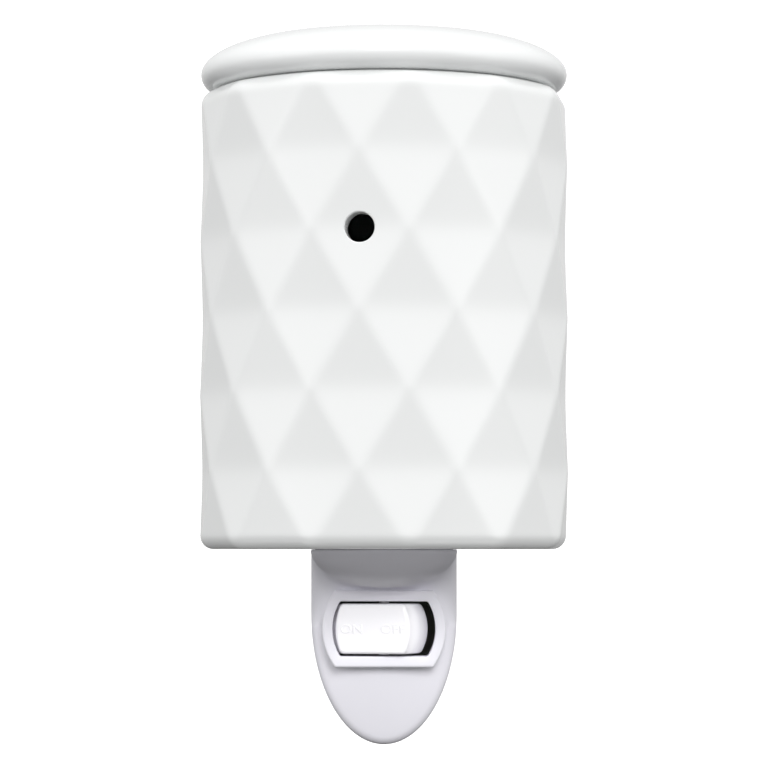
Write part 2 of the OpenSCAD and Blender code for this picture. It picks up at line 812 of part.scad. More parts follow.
glass_wide_z = glass_low_z + glass_belly * (bulb_top_z - glass_low_z);
function glass_outline(inset) = let(
  low = glass_low_z + inset, neck = glass_neck_r - inset, wide = glass_r - inset,
  crown = bulb_top_z - inset - glass_wide_z
) concat(
  [[0, low], [neck - glass_edge, low]],
  [for (i = [1:8])
    [neck + (wide - neck) * sin(90 * i / 8) ^ shoulder_power, low + (glass_wide_z - low) * i / 8]],
  [for (i = [1:8]) let(a = 90 * i / 9)
    [wide * cos(a) ^ crown_r_power, glass_wide_z + crown * sin(a) ^ crown_z_power]],
  [[0, bulb_top_z - inset]]
);
module bulb_glass() color(clear_glass) translate([0, axis_y, 0]) rotate_extrude() difference() {
  polygon(glass_outline(0));
  polygon(glass_outline(glass_wall));
}

module bulb_base() color(brass) translate([0, axis_y, 0]) rotate_extrude() {
  wave = thread_wave(base_low_z, base_high_z - base_collar, base_root_r, base_crest_r);
  inner = shifted(wave, -base_wall);
  foot_z = base_low_z - 1;
  polygon(concat(
    [[base_foot_r, foot_z], [base_foot_r + 0.2, foot_z]],
    wave, [[base_crest_r, base_high_z], [base_crest_r - base_wall, base_high_z]],
    reversed(inner), [[base_foot_r, insulator_top_z]]
  ));
}

module bulb_insulator() color(dark_glass) translate([0, axis_y, bulb_tip_z + tip_t])
  cylinder(r1 = insulator_r, r2 = base_foot_r, h = insulator_top_z - bulb_tip_z - tip_t);

module bulb_tip_contact() color(steel) translate([0, axis_y, bulb_tip_z])
  cylinder(r1 = tip_low_r, r2 = tip_high_r, h = tip_t);

module bulb_stem() color(clear_glass) translate([0, axis_y, glass_low_z + glass_wall]) {
  cylinder(r1 = stem_foot_r, r2 = stem_r, h = stem_foot_h);
  translate([0, 0, stem_foot_h]) cylinder(r = stem_r, h = stem_h);
}

module bulb_filament() color(steel) {
  foot = glass_low_z + glass_wall + stem_foot_h + stem_h - 1;
  step = filament_half / filament_steps;
  for (side = [-1, 1])
    rod_along([
      [side * lead_foot_x, axis_y, foot + lead_foot_h], [side * lead_bend_x, axis_y, foot + lead_bend_h],
      [side * filament_half, axis_y, filament_z - 1], [side * filament_half, axis_y, filament_z],
    ], lead_r, thin_sides);
  rod_along([
    for (i = [-filament_steps:filament_steps]) let(a = filament_turn * i)
      [i * step, axis_y + filament_coil_r * sin(a), filament_z - filament_r + filament_coil_r * cos(a)]
  ], filament_r, thin_sides);
}

// Plug
module blade_shape(x, w, inner_d) difference() {
  translate([x - blade_t / 2, -inner_d, -w / 2]) cube([blade_t, inner_d + blade_out, w]);
  for (side = [-1, 1]) translate([x, blade_out, side * w / 2]) rotate([45, 0, 0])
    cube([2 * blade_t, blade_bevel, blade_bevel], center = true);
}

module line_blade_shape() blade_shape(blade_pitch / 2, line_blade_w, hub_inner_d);
module neutral_blade_shape() {
  blade_shape(-blade_pitch / 2, neutral_blade_w, leg_high_d);
  block(-blade_pitch / 2, stud_r, leg_low_d, leg_high_d, -leg_half_h, leg_half_h);
}

module line_blade() color(brass) line_blade_shape();
module neutral_blade() color(brass) neutral_blade_shape();

module plug_hub() color(plastic_white) difference() {
  union() {
    from_wall(0) cylinder(r = hub_face_r, h = hub_face_t);
    from_wall(0) cylinder(r = hub_r, h = hub_inner_d);
    from_wall(lug_low_d) rotate(lug_angle) hub_sector(hub_r - over, lug_r, lug_width, lug_high_d - lug_low_d);
  }
  line_blade_shape();
  neutral_blade_shape();
  from_wall(leg_high_d - 2 * clip_play) cylinder(r = stud_r, h = hub_inner_d - leg_high_d + over);
  from_wall(clip_low_d - clip_play) difference() {
    cylinder(r = hub_r + over, h = clip_high_d - clip_low_d + 2 * clip_play);
    translate([0, 0, -over]) cylinder(r = clip_groove_r, h = clip_high_d);
  }
}

module hub_clip() color(steel) from_wall(clip_low_d) rotate(lug_angle + clip_gap / 2)
  rotate_extrude(angle = 360 - clip_gap) translate([clip_groove_r + clip_play, 0])
    square([clip_r - clip_groove_r - clip_play, clip_high_d - clip_low_d]);

module line_slip_ring() color(brass) from_wall(hub_inner_d) difference() {
  cylinder(r = ring_out_r, h = slip_t);
  translate([0, 0, -over]) cylinder(r = ring_in_r, h = slip_t + 2 * over);
}

module neutral_stud() color(brass) {
  from_wall(leg_high_d) cylinder(r = stud_r, h = hub_inner_d - leg_high_d + eps);
  from_wall(hub_inner_d) cylinder(r = stud_head_r, h = slip_t);
}

module contact_board() color(board_brown) difference() {
  intersection() {
    block(-board_half_w, board_half_w, board_low_d, board_high_d, -board_half_h, board_half_h);
    from_wall(board_low_d - over) linear_extrude(part_d) house_outline(wall_t + ring_play);
  }
  tab(tab_x, line_tab_z, tab_play, board_low_d - over);
  tab(-tab_x, neutral_tab_z, tab_play, board_low_d - over);
}

// The tab that takes a leaf through the board
module tab(x, z, play, start_d) translate([x, 0, z])
  block(-tab_half_t - play, tab_half_t + play, start_d, tab_end_d, -tab_half_h - play, tab_half_h + play);

// A bent leaf that leans on the hub's contact, with a tab through the board
module leaf(touch, foot_x) {
  foot_y = leaf_t - board_low_d;
  end_x = foot_x + leaf_foot;
  top_y = -leaf_touch_d;
  low_y = top_y - leaf_t;
  translate([0, 0, -leaf_half_w]) linear_extrude(2 * leaf_half_w) polygon([
    [touch - leaf_foot, top_y - leaf_rise], [touch - leaf_touch_half, top_y],
    [touch + leaf_touch_half, top_y], [foot_x - leaf_bend, foot_y], [end_x, foot_y],
    [end_x, -board_low_d], [foot_x - leaf_bend, -board_low_d],
    [touch + leaf_touch_half, low_y], [touch - leaf_touch_half / 2, low_y],
    [touch - leaf_foot + leaf_t / 2, low_y - leaf_touch_half],
  ]);
}

module line_wiper() color(bronze) {
  translate([0, 0, line_tab_z]) leaf(line_touch_x, tab_x);
  tab(tab_x, line_tab_z, 0, board_low_d - eps);
}

module neutral_wiper() color(bronze) {
  rotate([0, 90, 0]) leaf(0, neutral_foot_z);
  tab(-tab_x, neutral_tab_z, 0, board_low_d - eps);
  block(-tab_x - tab_half_t, leaf_half_w, board_low_d - leaf_t, board_low_d, bridge_low_z, bridge_high_z);
}

// Wires, each through points chosen by hand
line_route = [
  [tab_x - tab_half_t - weld_gap, -tab_wire_d, line_tab_z], [2.2, -tab_wire_d, line_tab_z],
  [1.2, -13.8, 5.4], [1.12, -tail_wire_d, 3], [1.12, -tail_wire_d, -0.8],
];
switched_route = [
  [load_x + tail_t / 2 + weld_gap, -tail_wire_d, 0], [6.2, -tail_wire_d, 0],
  [7.6, -14.6, 2], [8, -15, 8], [6.5, -18.5, 12.9], [5, -34, 13.3], [3.3, -42, 13.8],
  [center_tail_x, axis_y, 16], [center_tail_x, axis_y, lamp_tail_z - 2 * weld_gap],
];
neutral_route = [
  [-tab_x - tab_half_t - weld_gap, -tab_wire_d, neutral_tab_z], [-6, -tab_wire_d, neutral_tab_z],
  [-8, -14.5, -3], [-8, -15, 6], [-6.5, -18.5, 12.9], [-5, -34, 13.2], [-5.2, -42, 13.8],
  [shell_tail_x, axis_y, 16], [shell_tail_x, axis_y, lamp_tail_z - 2 * weld_gap],
];
module wire(route) rod_along(smooth_path(route), wire_r, wire_sides);
module line_wire() color(line_black) wire(line_route);
module switched_wire() color(line_black) wire(switched_route);
module neutral_wire() color(neutral_white) wire(neutral_route);

wax_dish();
ceramic_shade();
shade_gasket();
clamp_washer();
clamp_ring_nut();
front_shell();
rear_shell();
housing_screws();
switch_bezel();
switch_body();
switch_rocker();
rocker_plunger();
rocker_spring();
contact_bar();
common_terminal();
load_terminal();
lamp_holder();
lamp_screw_shell();
lamp_center_contact();
holder_screws();
bulb_glass();
bulb_base();
bulb_insulator();
bulb_tip_contact();
bulb_stem();
bulb_filament();
plug_hub();
line_blade();
neutral_blade();
hub_clip();
line_slip_ring();
neutral_stud();
contact_board();
line_wiper();
neutral_wiper();
line_wire();
switched_wire();
neutral_wire();
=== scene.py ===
"""Plug-in wax melt warmer: ceramic shade and dish on a plastic plug housing, dressed round its frame."""

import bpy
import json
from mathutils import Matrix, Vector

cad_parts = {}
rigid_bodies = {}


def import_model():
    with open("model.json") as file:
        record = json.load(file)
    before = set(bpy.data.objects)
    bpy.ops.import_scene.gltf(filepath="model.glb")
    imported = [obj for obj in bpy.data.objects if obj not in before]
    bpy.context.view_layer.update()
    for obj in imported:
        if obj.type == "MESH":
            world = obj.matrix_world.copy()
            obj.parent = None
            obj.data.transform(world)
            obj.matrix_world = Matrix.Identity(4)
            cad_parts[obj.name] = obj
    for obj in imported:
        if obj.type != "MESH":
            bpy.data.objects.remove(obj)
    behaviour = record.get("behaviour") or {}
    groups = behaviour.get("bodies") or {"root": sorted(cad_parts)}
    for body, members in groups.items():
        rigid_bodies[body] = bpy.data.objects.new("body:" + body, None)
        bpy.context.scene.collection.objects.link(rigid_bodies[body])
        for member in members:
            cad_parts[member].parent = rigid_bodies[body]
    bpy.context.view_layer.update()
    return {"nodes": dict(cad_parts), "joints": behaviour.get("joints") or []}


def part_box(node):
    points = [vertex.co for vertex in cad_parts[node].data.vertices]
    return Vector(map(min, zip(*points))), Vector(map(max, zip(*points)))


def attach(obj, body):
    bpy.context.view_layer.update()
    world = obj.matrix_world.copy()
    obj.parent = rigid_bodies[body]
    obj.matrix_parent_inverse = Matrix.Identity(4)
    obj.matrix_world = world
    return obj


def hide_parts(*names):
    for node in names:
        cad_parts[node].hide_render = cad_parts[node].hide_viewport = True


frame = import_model()

import json
from math import asin, cos, pi, radians, sin

import bmesh
import bpy
from mathutils import Matrix, Vector

bl_info = {
    "name": "Wax Melt Warmer",
    "version": (1, 0, 0),
    "blender": (4, 5, 0),
    "location": "3D View > Sidebar > Warmer",
    "description": "Builds the shade, dish, plug housing, switch, lamp and stage of a wax melt warmer",
    "category": "Add Mesh",
}

MM = 0.001
SHADE_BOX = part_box("ceramic_shade")
DISH_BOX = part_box("wax_dish")
HOUSE_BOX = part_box("front_shell")
REAR_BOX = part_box("rear_shell")
AXIS_Y = (DISH_BOX[0].y + DISH_BOX[1].y) / 2
SHADE_LOW, SHADE_TOP = SHADE_BOX[0].z, SHADE_BOX[1].z
ROCKER_JOINT = next(joint for joint in frame["joints"] if joint["name"] == "rocker_tilt")
PIVOT = Vector(ROCKER_JOINT["pos_m"])
REST_TILT = -radians(ROCKER_JOINT["range_deg"][1]) / 2


def length(name, text, default, **limits):
    """A size in metres that a user may change."""
    return bpy.props.FloatProperty(
        name=name, description=text, default=default, unit="LENGTH", precision=5, **limits)


def factor(name, text, default):
    """A plain number that a user may change."""
    return bpy.props.FloatProperty(name=name, description=text, default=default, precision=3)


def colour(name, text, default):
    """A linear colour that a user may change."""
    return bpy.props.FloatVectorProperty(
        name=name, description=text, default=default, subtype="COLOR", size=3, min=0, max=1)


class ShadeSettings(bpy.types.PropertyGroup):
    """Sizes and colours of the ceramic shade."""
    radius: length("Radius", "Radius at the relief's high points, before the glaze softens them",
                   (DISH_BOX[1].x - DISH_BOX[0].x) / 2 + 0.3 * MM)
    inner_radius: length("Inner Radius", "Radius of the space inside", 34 * MM)
    floor: length("Floor", "Thickness of the floor", 5 * MM)
    hole_radius: length("Floor Hole", "Radius of the hole for the lamp's neck", 11.5 * MM)
    diamonds: bpy.props.IntProperty(name="Diamonds", description="Diamonds once round", default=12, min=3)
    rows: bpy.props.IntProperty(name="Rows", description="Rows of half diamonds", default=6, min=1)
    softness: factor("Softness", "How soft the glaze leaves the creases, as a share of a row", 0.13)
    crease: length("Crease", "Depth over which two facets blend", 0.5 * MM)
    vent: length("Vent", "Diameter of the vent hole", 6.3 * MM)
    glaze: colour("Glaze", "Satin glaze", (0.80, 0.815, 0.81))


class DishSettings(bpy.types.PropertyGroup):
    """Sizes and colours of the melting dish."""
    nose: length("Nose", "Radius of the lip's round nose", 3.4 * MM)
    bowl_depth: length("Bowl Depth", "From the ridge to the bowl's floor", 21.8 * MM)
    glaze: colour("Glaze", "Gloss glaze", (0.83, 0.84, 0.84))


class HousingSettings(bpy.types.PropertyGroup):
    """Sizes and colours of the plug housing."""
    wall: length("Wall", "Thickness of the walls", 1.8 * MM)
    straight: length("Straight", "Straight sides below the shade", 14.2 * MM)
    arm_drop: length("Arm Drop", "Drop of the arm's underside", 8.3 * MM)
    edge_round: length("Edge Round", "Round edge of the front", 2.4 * MM)
    crown: length("Crown", "How far the front's middle stands out past its edge", 3 * MM)
    draft: factor("Draft", "How much narrower the front is than the joint line", 0.025)
    lean: factor("Lean", "How far the front leans back at its tip", 0.25)
    plastic: colour("Plastic", "Moulded plastic", (0.90, 0.89, 0.95))


class SwitchSettings(bpy.types.PropertyGroup):
    """Sizes and colours of the switch."""
    letter_height: length("Letter Height", "Height of the raised letters", 2.0 * MM)
    letter_rise: length("Letter Rise", "How far the letters stand out", 0.2 * MM)
    rocker: colour("Rocker", "Rocker plastic", (0.98, 0.97, 0.99))


class StageSettings(bpy.types.PropertyGroup):
    """Camera, lights and floor."""
    distance: length("Distance", "From the camera to the shade's axis", 0.728)
    lens: factor("Lens", "Focal length in millimetres on a 36 mm sensor", 156.6)
    tilt: bpy.props.FloatProperty(
        name="Tilt", description="Upward tilt of the camera", default=radians(2.83), subtype="ANGLE")
    floor_drop: length("Floor Drop", "From the origin down to the floor", 0.5)
    sky: factor("Sky", "Strength of the light from the front", 1.48)
    behind: factor("Behind", "Share of that light that comes from behind", 0.55)
    overhead: factor("Overhead", "Change of the light towards straight above; below zero dims it", -0.35)
    below: factor("Below", "Share of that light that comes from below", 0.06)
    pale: colour("Floor", "Floor and backdrop", (0.93, 0.93, 0.93))


# Meshes

def new_object(name, mesh):
    """A new object at the origin that shows a mesh."""
    obj = bpy.data.objects.new(name, mesh)
    bpy.context.scene.collection.objects.link(obj)
    return obj


def mesh_object(name, vertices, faces):
    """A mesh with its doubles merged and its faces turned outwards."""
    mesh = bpy.data.meshes.new(name)
    mesh.from_pydata([tuple(v) for v in vertices], [], faces)
    tidy_mesh(mesh)
    return new_object(name, mesh)


def tidy_mesh(mesh, merge=1e-7):
    """Merges doubles and points all faces outwards."""
    bm = bmesh.new()
    bm.from_mesh(mesh)
    bmesh.ops.remove_doubles(bm, verts=bm.verts, dist=merge)
    bmesh.ops.dissolve_degenerate(bm, edges=bm.edges, dist=merge)
    bmesh.ops.recalc_face_normals(bm, faces=bm.faces)
    bm.to_mesh(mesh)
    bm.free()
    mesh.update()


def skin(name, rings, capped=True, looped=False):
    """A surface through rings of points, all of one count; looped joins the last ring to the first."""
    count, total = len(rings[0]), len(rings)
    faces = []
    for j in range(total if looped else total - 1):
        a, b = j * count, (j + 1) % total * count
        faces += [(a + i, a + (i + 1) % count, b + (i + 1) % count, b + i) for i in range(count)]
    if capped and not looped:
        faces.append(tuple(range(count - 1, -1, -1)))
        faces.append(tuple((total - 1) * count + i for i in range(count)))
    return mesh_object(name, [p for ring in rings for p in ring], faces)


def lathe(name, outline, segments=192, axis=(0.0, 0.0)):
    """A closed outline of (radius, height) turned round an upright axis."""
    rings = []
    for r, z in outline:
        r = max(r, 0.0)
        rings.append([(axis[0] + r * sin(2 * pi * i / segments), axis[1] - r * cos(2 * pi * i / segments), z)
                      for i in range(segments)])
    on_axis = outline[0][0] <= 0 and outline[-1][0] <= 0
    return skin(name, rings, capped=False, looped=not on_axis)


def arc(cx, cz, r, start, end, steps):
    """Points on an arc, its angles in degrees."""
    turn = [radians(start + (end - start) * i / steps) for i in range(steps + 1)]
    return [(cx + r * cos(a), cz + r * sin(a)) for a in turn]


def bake(obj):
    """Replaces an object's mesh by its evaluated one and drops the modifiers."""
    graph = bpy.context.evaluated_depsgraph_get()
    graph.update()
    mesh = bpy.data.meshes.new_from_object(obj.evaluated_get(graph), depsgraph=graph)
    old = obj.data
    obj.modifiers.clear()
    obj.data = mesh
    mesh.name = obj.name
    bpy.data.meshes.remove(old)
    return obj


def combine(obj, other, operation):
    """Boolean of two closed objects; the second one is used up."""
    mod = obj.modifiers.new("combine", "BOOLEAN")
    mod.operation = operation
    mod.solver = "EXACT"
    mod.object = other
    bake(obj)
    bpy.data.objects.remove(other)
    if not obj.data.polygons:
        raise RuntimeError(f"{obj.name}: the {operation.lower()} left nothing")
    return obj


def join(obj, others):
    """Adds the meshes of other objects to the first one."""
    bm = bmesh.new()
    bm.from_mesh(obj.data)
    for other in others:
        bm.from_mesh(other.data)
        bpy.data.objects.remove(other)
    bm.to_mesh(obj.data)
    bm.free()
    return obj


def melt_together(obj, voxel, passes):
    """Fuses overlapping volumes into one skin with soft inner corners."""
    remesh = obj.modifiers.new("fuse", "REMESH")
    remesh.mode = "VOXEL"
    remesh.voxel_size = voxel
    smooth = obj.modifiers.new("soften", "SMOOTH")
    smooth.factor = 0.5
    smooth.iterations = passes
    return bake(obj)


def prism(name, ring, low_depth, high_depth):
    """An outline of (x, z) between two depths from the wall."""
    return skin(name, [[(x, -d, z) for x, z in ring] for d in (low_depth, high_depth)])


def block(name, low, high):
    """A closed box between two corners."""
    (x0, y0, z0), (x1, y1, z1) = low, high
    corners = [(x0, y0), (x1, y0), (x1, y1), (x0, y1)]
    return skin(name, [[(x, y, z) for x, y in corners] for z in (z0, z1)])


def rod(name, start, end, r, segments=48):
    """A closed round rod between two points."""
    start, end = Vector(start), Vector(end)
    turn = (end - start).to_track_quat("Z", "Y")
    angles = [2 * pi * i / segments for i in range(segments)]
    ring = [turn @ Vector((r * cos(a), r * sin(a), 0)) for a in angles]
    return skin(name, [[tuple(p + at) for p in ring] for at in (start, end)])


def soften_part(obj, weight, passes):
    """Smooths part of a skin; weight gives the share that each point takes."""
    group = obj.vertex_groups.new(name="soft")
    for v in obj.data.vertices:
        share = weight(v.co)
        if share > 0:
            group.add([v.index], share, "REPLACE")
    smooth = obj.modifiers.new("soften", "SMOOTH")
    smooth.vertex_group = group.name
    smooth.factor = 0.5
    smooth.iterations = passes
    bake(obj)
    obj.vertex_groups.clear()


def ramp(value, low, high):
    """0 at low, 1 at high, with soft ends."""
    share = min(1, max(0, (value - low) / (high - low)))
    return share * share * (3 - 2 * share)


def shade_smooth(obj, angle=radians(35)):
    """Smooth shading that keeps edges sharper than an angle."""
    mesh = obj.data
    mesh.polygons.foreach_set("use_smooth", [True] * len(mesh.polygons))
    mesh.set_sharp_from_angle(angle=angle)
    return obj


def barrel_ring(width, height, end_r, corner, arc_steps=16, corner_steps=5):
    """Outline of a plate with straight long edges, bulging ends and round corners, as (x, z)."""
    half_w, half_h, r = width / 2 - corner, height / 2 - corner, end_r - corner
    reach = asin(min(1, half_h / r))
    centre_x = half_w - r
    right = []
    for i in range(arc_steps + 1):
        a = reach * (2 * i / arc_steps - 1)
        right.append((centre_x + r * cos(a) + corner * cos(a), r * sin(a) + corner * sin(a)))
    tip_x, tip_z = centre_x + r * cos(reach), half_h
    for i in range(1, corner_steps + 1):
        a = reach + (pi / 2 - reach) * i / corner_steps
        right.append((tip_x + corner * cos(a), tip_z + corner * sin(a)))
    start = [(tip_x + corner * cos(reach + (pi / 2 - reach) * i / corner_steps),
              -tip_z - corner * sin(reach + (pi / 2 - reach) * i / corner_steps))
             for i in range(corner_steps, 0, -1)]
    right = start + right
    return right + [(-x, -z) for x, z in right]


def end_radius(height, bulge):
    """Radius of an end that bulges out by so much over a height."""
    return (height * height / 4 + bulge * bulge) / (2 * bulge)


def barrel(size, corner, inset=0):
    """A barrel ring from its width, height and bulge, drawn in by an inset."""
    width, height, bulge = size
    return barrel_ring(width - 2 * inset, height - 2 * inset, end_radius(height, bulge) - inset, corner)


# Materials

def link_value(tree, socket, value):
    """Sets a socket to a number or links it."""
    if isinstance(value, bpy.types.NodeSocket):
        tree.links.new(value, socket)
    elif value is not None:
        socket.default_value = value


def calc(tree, operation, *values):
    """A Math node, and its result."""
    node = tree.nodes.new("ShaderNodeMath")
    node.operation = operation
    for socket, value in zip(node.inputs, values):
        link_value(tree, socket, value)
    return node.outputs[0]


def variation_group():
    """Shared surface: slow colour drift, fine grain and a height for bumps."""
    name = "surface_variation"
    if name in bpy.data.node_groups:
        return bpy.data.node_groups[name]
    tree = bpy.data.node_groups.new(name, "ShaderNodeTree")
    sockets = (
        ("Color A", "INPUT", "NodeSocketColor"), ("Color B", "INPUT", "NodeSocketColor"),
        ("Cloud Scale", "INPUT", "NodeSocketFloat"), ("Grain Scale", "INPUT", "NodeSocketFloat"),
        ("Roughness Low", "INPUT", "NodeSocketFloat"), ("Roughness High", "INPUT", "NodeSocketFloat"),
        ("Color", "OUTPUT", "NodeSocketColor"), ("Roughness", "OUTPUT", "NodeSocketFloat"),
        ("Height", "OUTPUT", "NodeSocketFloat"),
    )
    for label, way, kind in sockets:
        tree.interface.new_socket(label, in_out=way, socket_type=kind)
    inside = tree.nodes.new("NodeGroupInput")
    out = tree.nodes.new("NodeGroupOutput")
    place = tree.nodes.new("ShaderNodeTexCoord")
    cloud = tree.nodes.new("ShaderNodeTexNoise")
    cloud.inputs["Detail"].default_value = 3.0
    grain = tree.nodes.new("ShaderNodeTexNoise")
    grain.inputs["Detail"].default_value = 4.0
    for noise, scale in ((cloud, "Cloud Scale"), (grain, "Grain Scale")):
        tree.links.new(place.outputs["Object"], noise.inputs["Vector"])
        tree.links.new(inside.outputs[scale], noise.inputs["Scale"])
    mix = tree.nodes.new("ShaderNodeMix")
    mix.data_type = "RGBA"
    tree.links.new(cloud.outputs["Fac"], mix.inputs["Factor"])
    tree.links.new(inside.outputs["Color A"], mix.inputs["A"])
    tree.links.new(inside.outputs["Color B"], mix.inputs["B"])
    tree.links.new(mix.outputs["Result"], out.inputs["Color"])
    spread = calc(tree, "SUBTRACT", inside.outputs["Roughness High"], inside.outputs["Roughness Low"])
    rough = calc(tree, "MULTIPLY_ADD", cloud.outputs["Fac"], spread, inside.outputs["Roughness Low"])
    tree.links.new(rough, out.inputs["Roughness"])
    height = calc(tree, "MULTIPLY_ADD", cloud.outputs["Fac"], 0.6, grain.outputs["Fac"])
    tree.links.new(height, out.inputs["Height"])
    return tree


def finish_material(name, base, drift=0.03, rough=(0.35, 0.45), metallic=0.0, cloud=60.0, grain=900.0,
                    bump=0.1, depth=0.00005, **extra):
    """A procedural finish on object coordinates; drift is how far the colour wanders."""
    if name in bpy.data.materials:
        return bpy.data.materials[name]
    mat = bpy.data.materials.new(name)
    mat.use_nodes = True
    tree = mat.node_tree
    shader = tree.nodes["Principled BSDF"]
    group = tree.nodes.new("ShaderNodeGroup")
    group.node_tree = variation_group()
    group.inputs["Color A"].default_value = (*[c * (1 - drift) for c in base], 1)
    group.inputs["Color B"].default_value = (*[min(1, c * (1 + drift)) for c in base], 1)
    group.inputs["Cloud Scale"].default_value = cloud
    group.inputs["Grain Scale"].default_value = grain
    group.inputs["Roughness Low"].default_value = rough[0]
    group.inputs["Roughness High"].default_value = rough[1]
    tree.links.new(group.outputs["Color"], shader.inputs["Base Color"])
    tree.links.new(group.outputs["Roughness"], shader.inputs["Roughness"])
    relief = tree.nodes.new("ShaderNodeBump")
    relief.inputs["Strength"].default_value = bump
    relief.inputs["Distance"].default_value = depth
    tree.links.new(group.outputs["Height"], relief.inputs["Height"])
    tree.links.new(relief.outputs["Normal"], shader.inputs["Normal"])
    shader.inputs["Metallic"].default_value = metallic
    for key, value in extra.items():
        shader.inputs[key.replace("_", " ").title().replace("Ior", "IOR")].default_value = value
    return mat


def clear_glass(name, tint, rough=0.02):
    """Clear glass with a faint wandering tint."""
    mat = finish_material(name, tint, drift=0.01, rough=(rough, rough + 0.03), bump=0.03, ior=1.47)
    mat.node_tree.nodes["Principled BSDF"].inputs["Transmission Weight"].default_value = 1.0
    return mat


def dress(obj, material):
    """Gives an object one material."""
    obj.data.materials.clear()
    obj.data.materials.append(material)
    return obj


def place(obj, body, slot, *nodes):
    """A finished piece: its body and the nodes it stands for, which it hides; its slot in the record is not
    used.
    """
    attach(obj, body)
    if nodes:
        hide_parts(*nodes)
    return obj


# Shade

AROUND = 480
WALL_RINGS = 132
BOTTOM_ROUND, TOP_ROUND = 3 * MM, 3.4 * MM
VENT_ROW, VENT_FLARE = 4, 0.22 * MM


def shade_blank(s):
    """The shade without its relief, a ring round the floor hole, and how much relief each point takes."""
    height, r, inner = SHADE_TOP - SHADE_LOW, s.radius, s.inner_radius
    # Radius, height and share of relief: the underside and the bottom edge
    outline = [(s.hole_radius, 0.6 * MM, 0), (s.hole_radius + 0.6 * MM, 0, 0)]
    flat = r - BOTTOM_ROUND - s.hole_radius
    outline += [(s.hole_radius + flat * t, 0, t ** 3) for t in (0.3, 0.6, 0.8, 0.9, 0.95)]
    outline += [(x, z, 1) for x, z in arc(r - BOTTOM_ROUND, BOTTOM_ROUND, BOTTOM_ROUND, -90, 0, 8)]
    # The wall and the shoulder, whose relief fades towards the rim
    droop = 0.35 * MM
    low, high = BOTTOM_ROUND, height - TOP_ROUND - droop
    outline += [(r, low + (high - low) * i / WALL_RINGS, 1) for i in range(1, WALL_RINGS)]
    outline += [(x, z, min(1, 1.9 - 0.17 * i))
                for i, (x, z) in enumerate(arc(r - TOP_ROUND, high, TOP_ROUND, 0, 84, 10))]
    # The rim, the inner wall and the floor
    outline += [(inner + 1.9 * MM, height - 0.05 * MM, 0), (inner + 1.3 * MM, height, 0)]
    outline += [(x, z, 0) for x, z in arc(inner + 1.2 * MM, height - 1.2 * MM, 1.2 * MM, 90, 180, 6)]
    outline += [(inner, height - 5 * MM - 10 * MM * i, 0) for i in range(9)]
    outline += [(x, z, 0) for x, z in arc(inner - 3 * MM, s.floor + 3 * MM, 3 * MM, 0, -90, 6)]
    outline += [(s.hole_radius + 0.6 * MM, s.floor, 0), (s.hole_radius, s.floor - 0.6 * MM, 0)]
    obj = lathe("shade", [(x, SHADE_LOW + z) for x, z, _ in outline], AROUND, (0, AXIS_Y))
    if len(obj.data.vertices) != len(outline) * AROUND:
        raise RuntimeError("the shade's rings didn't all keep their points")
    weight = obj.data.attributes.new("relief", "FLOAT", "POINT")
    weight.data.foreach_set("value", [w for _, _, w in outline for _ in range(AROUND)])
    return obj


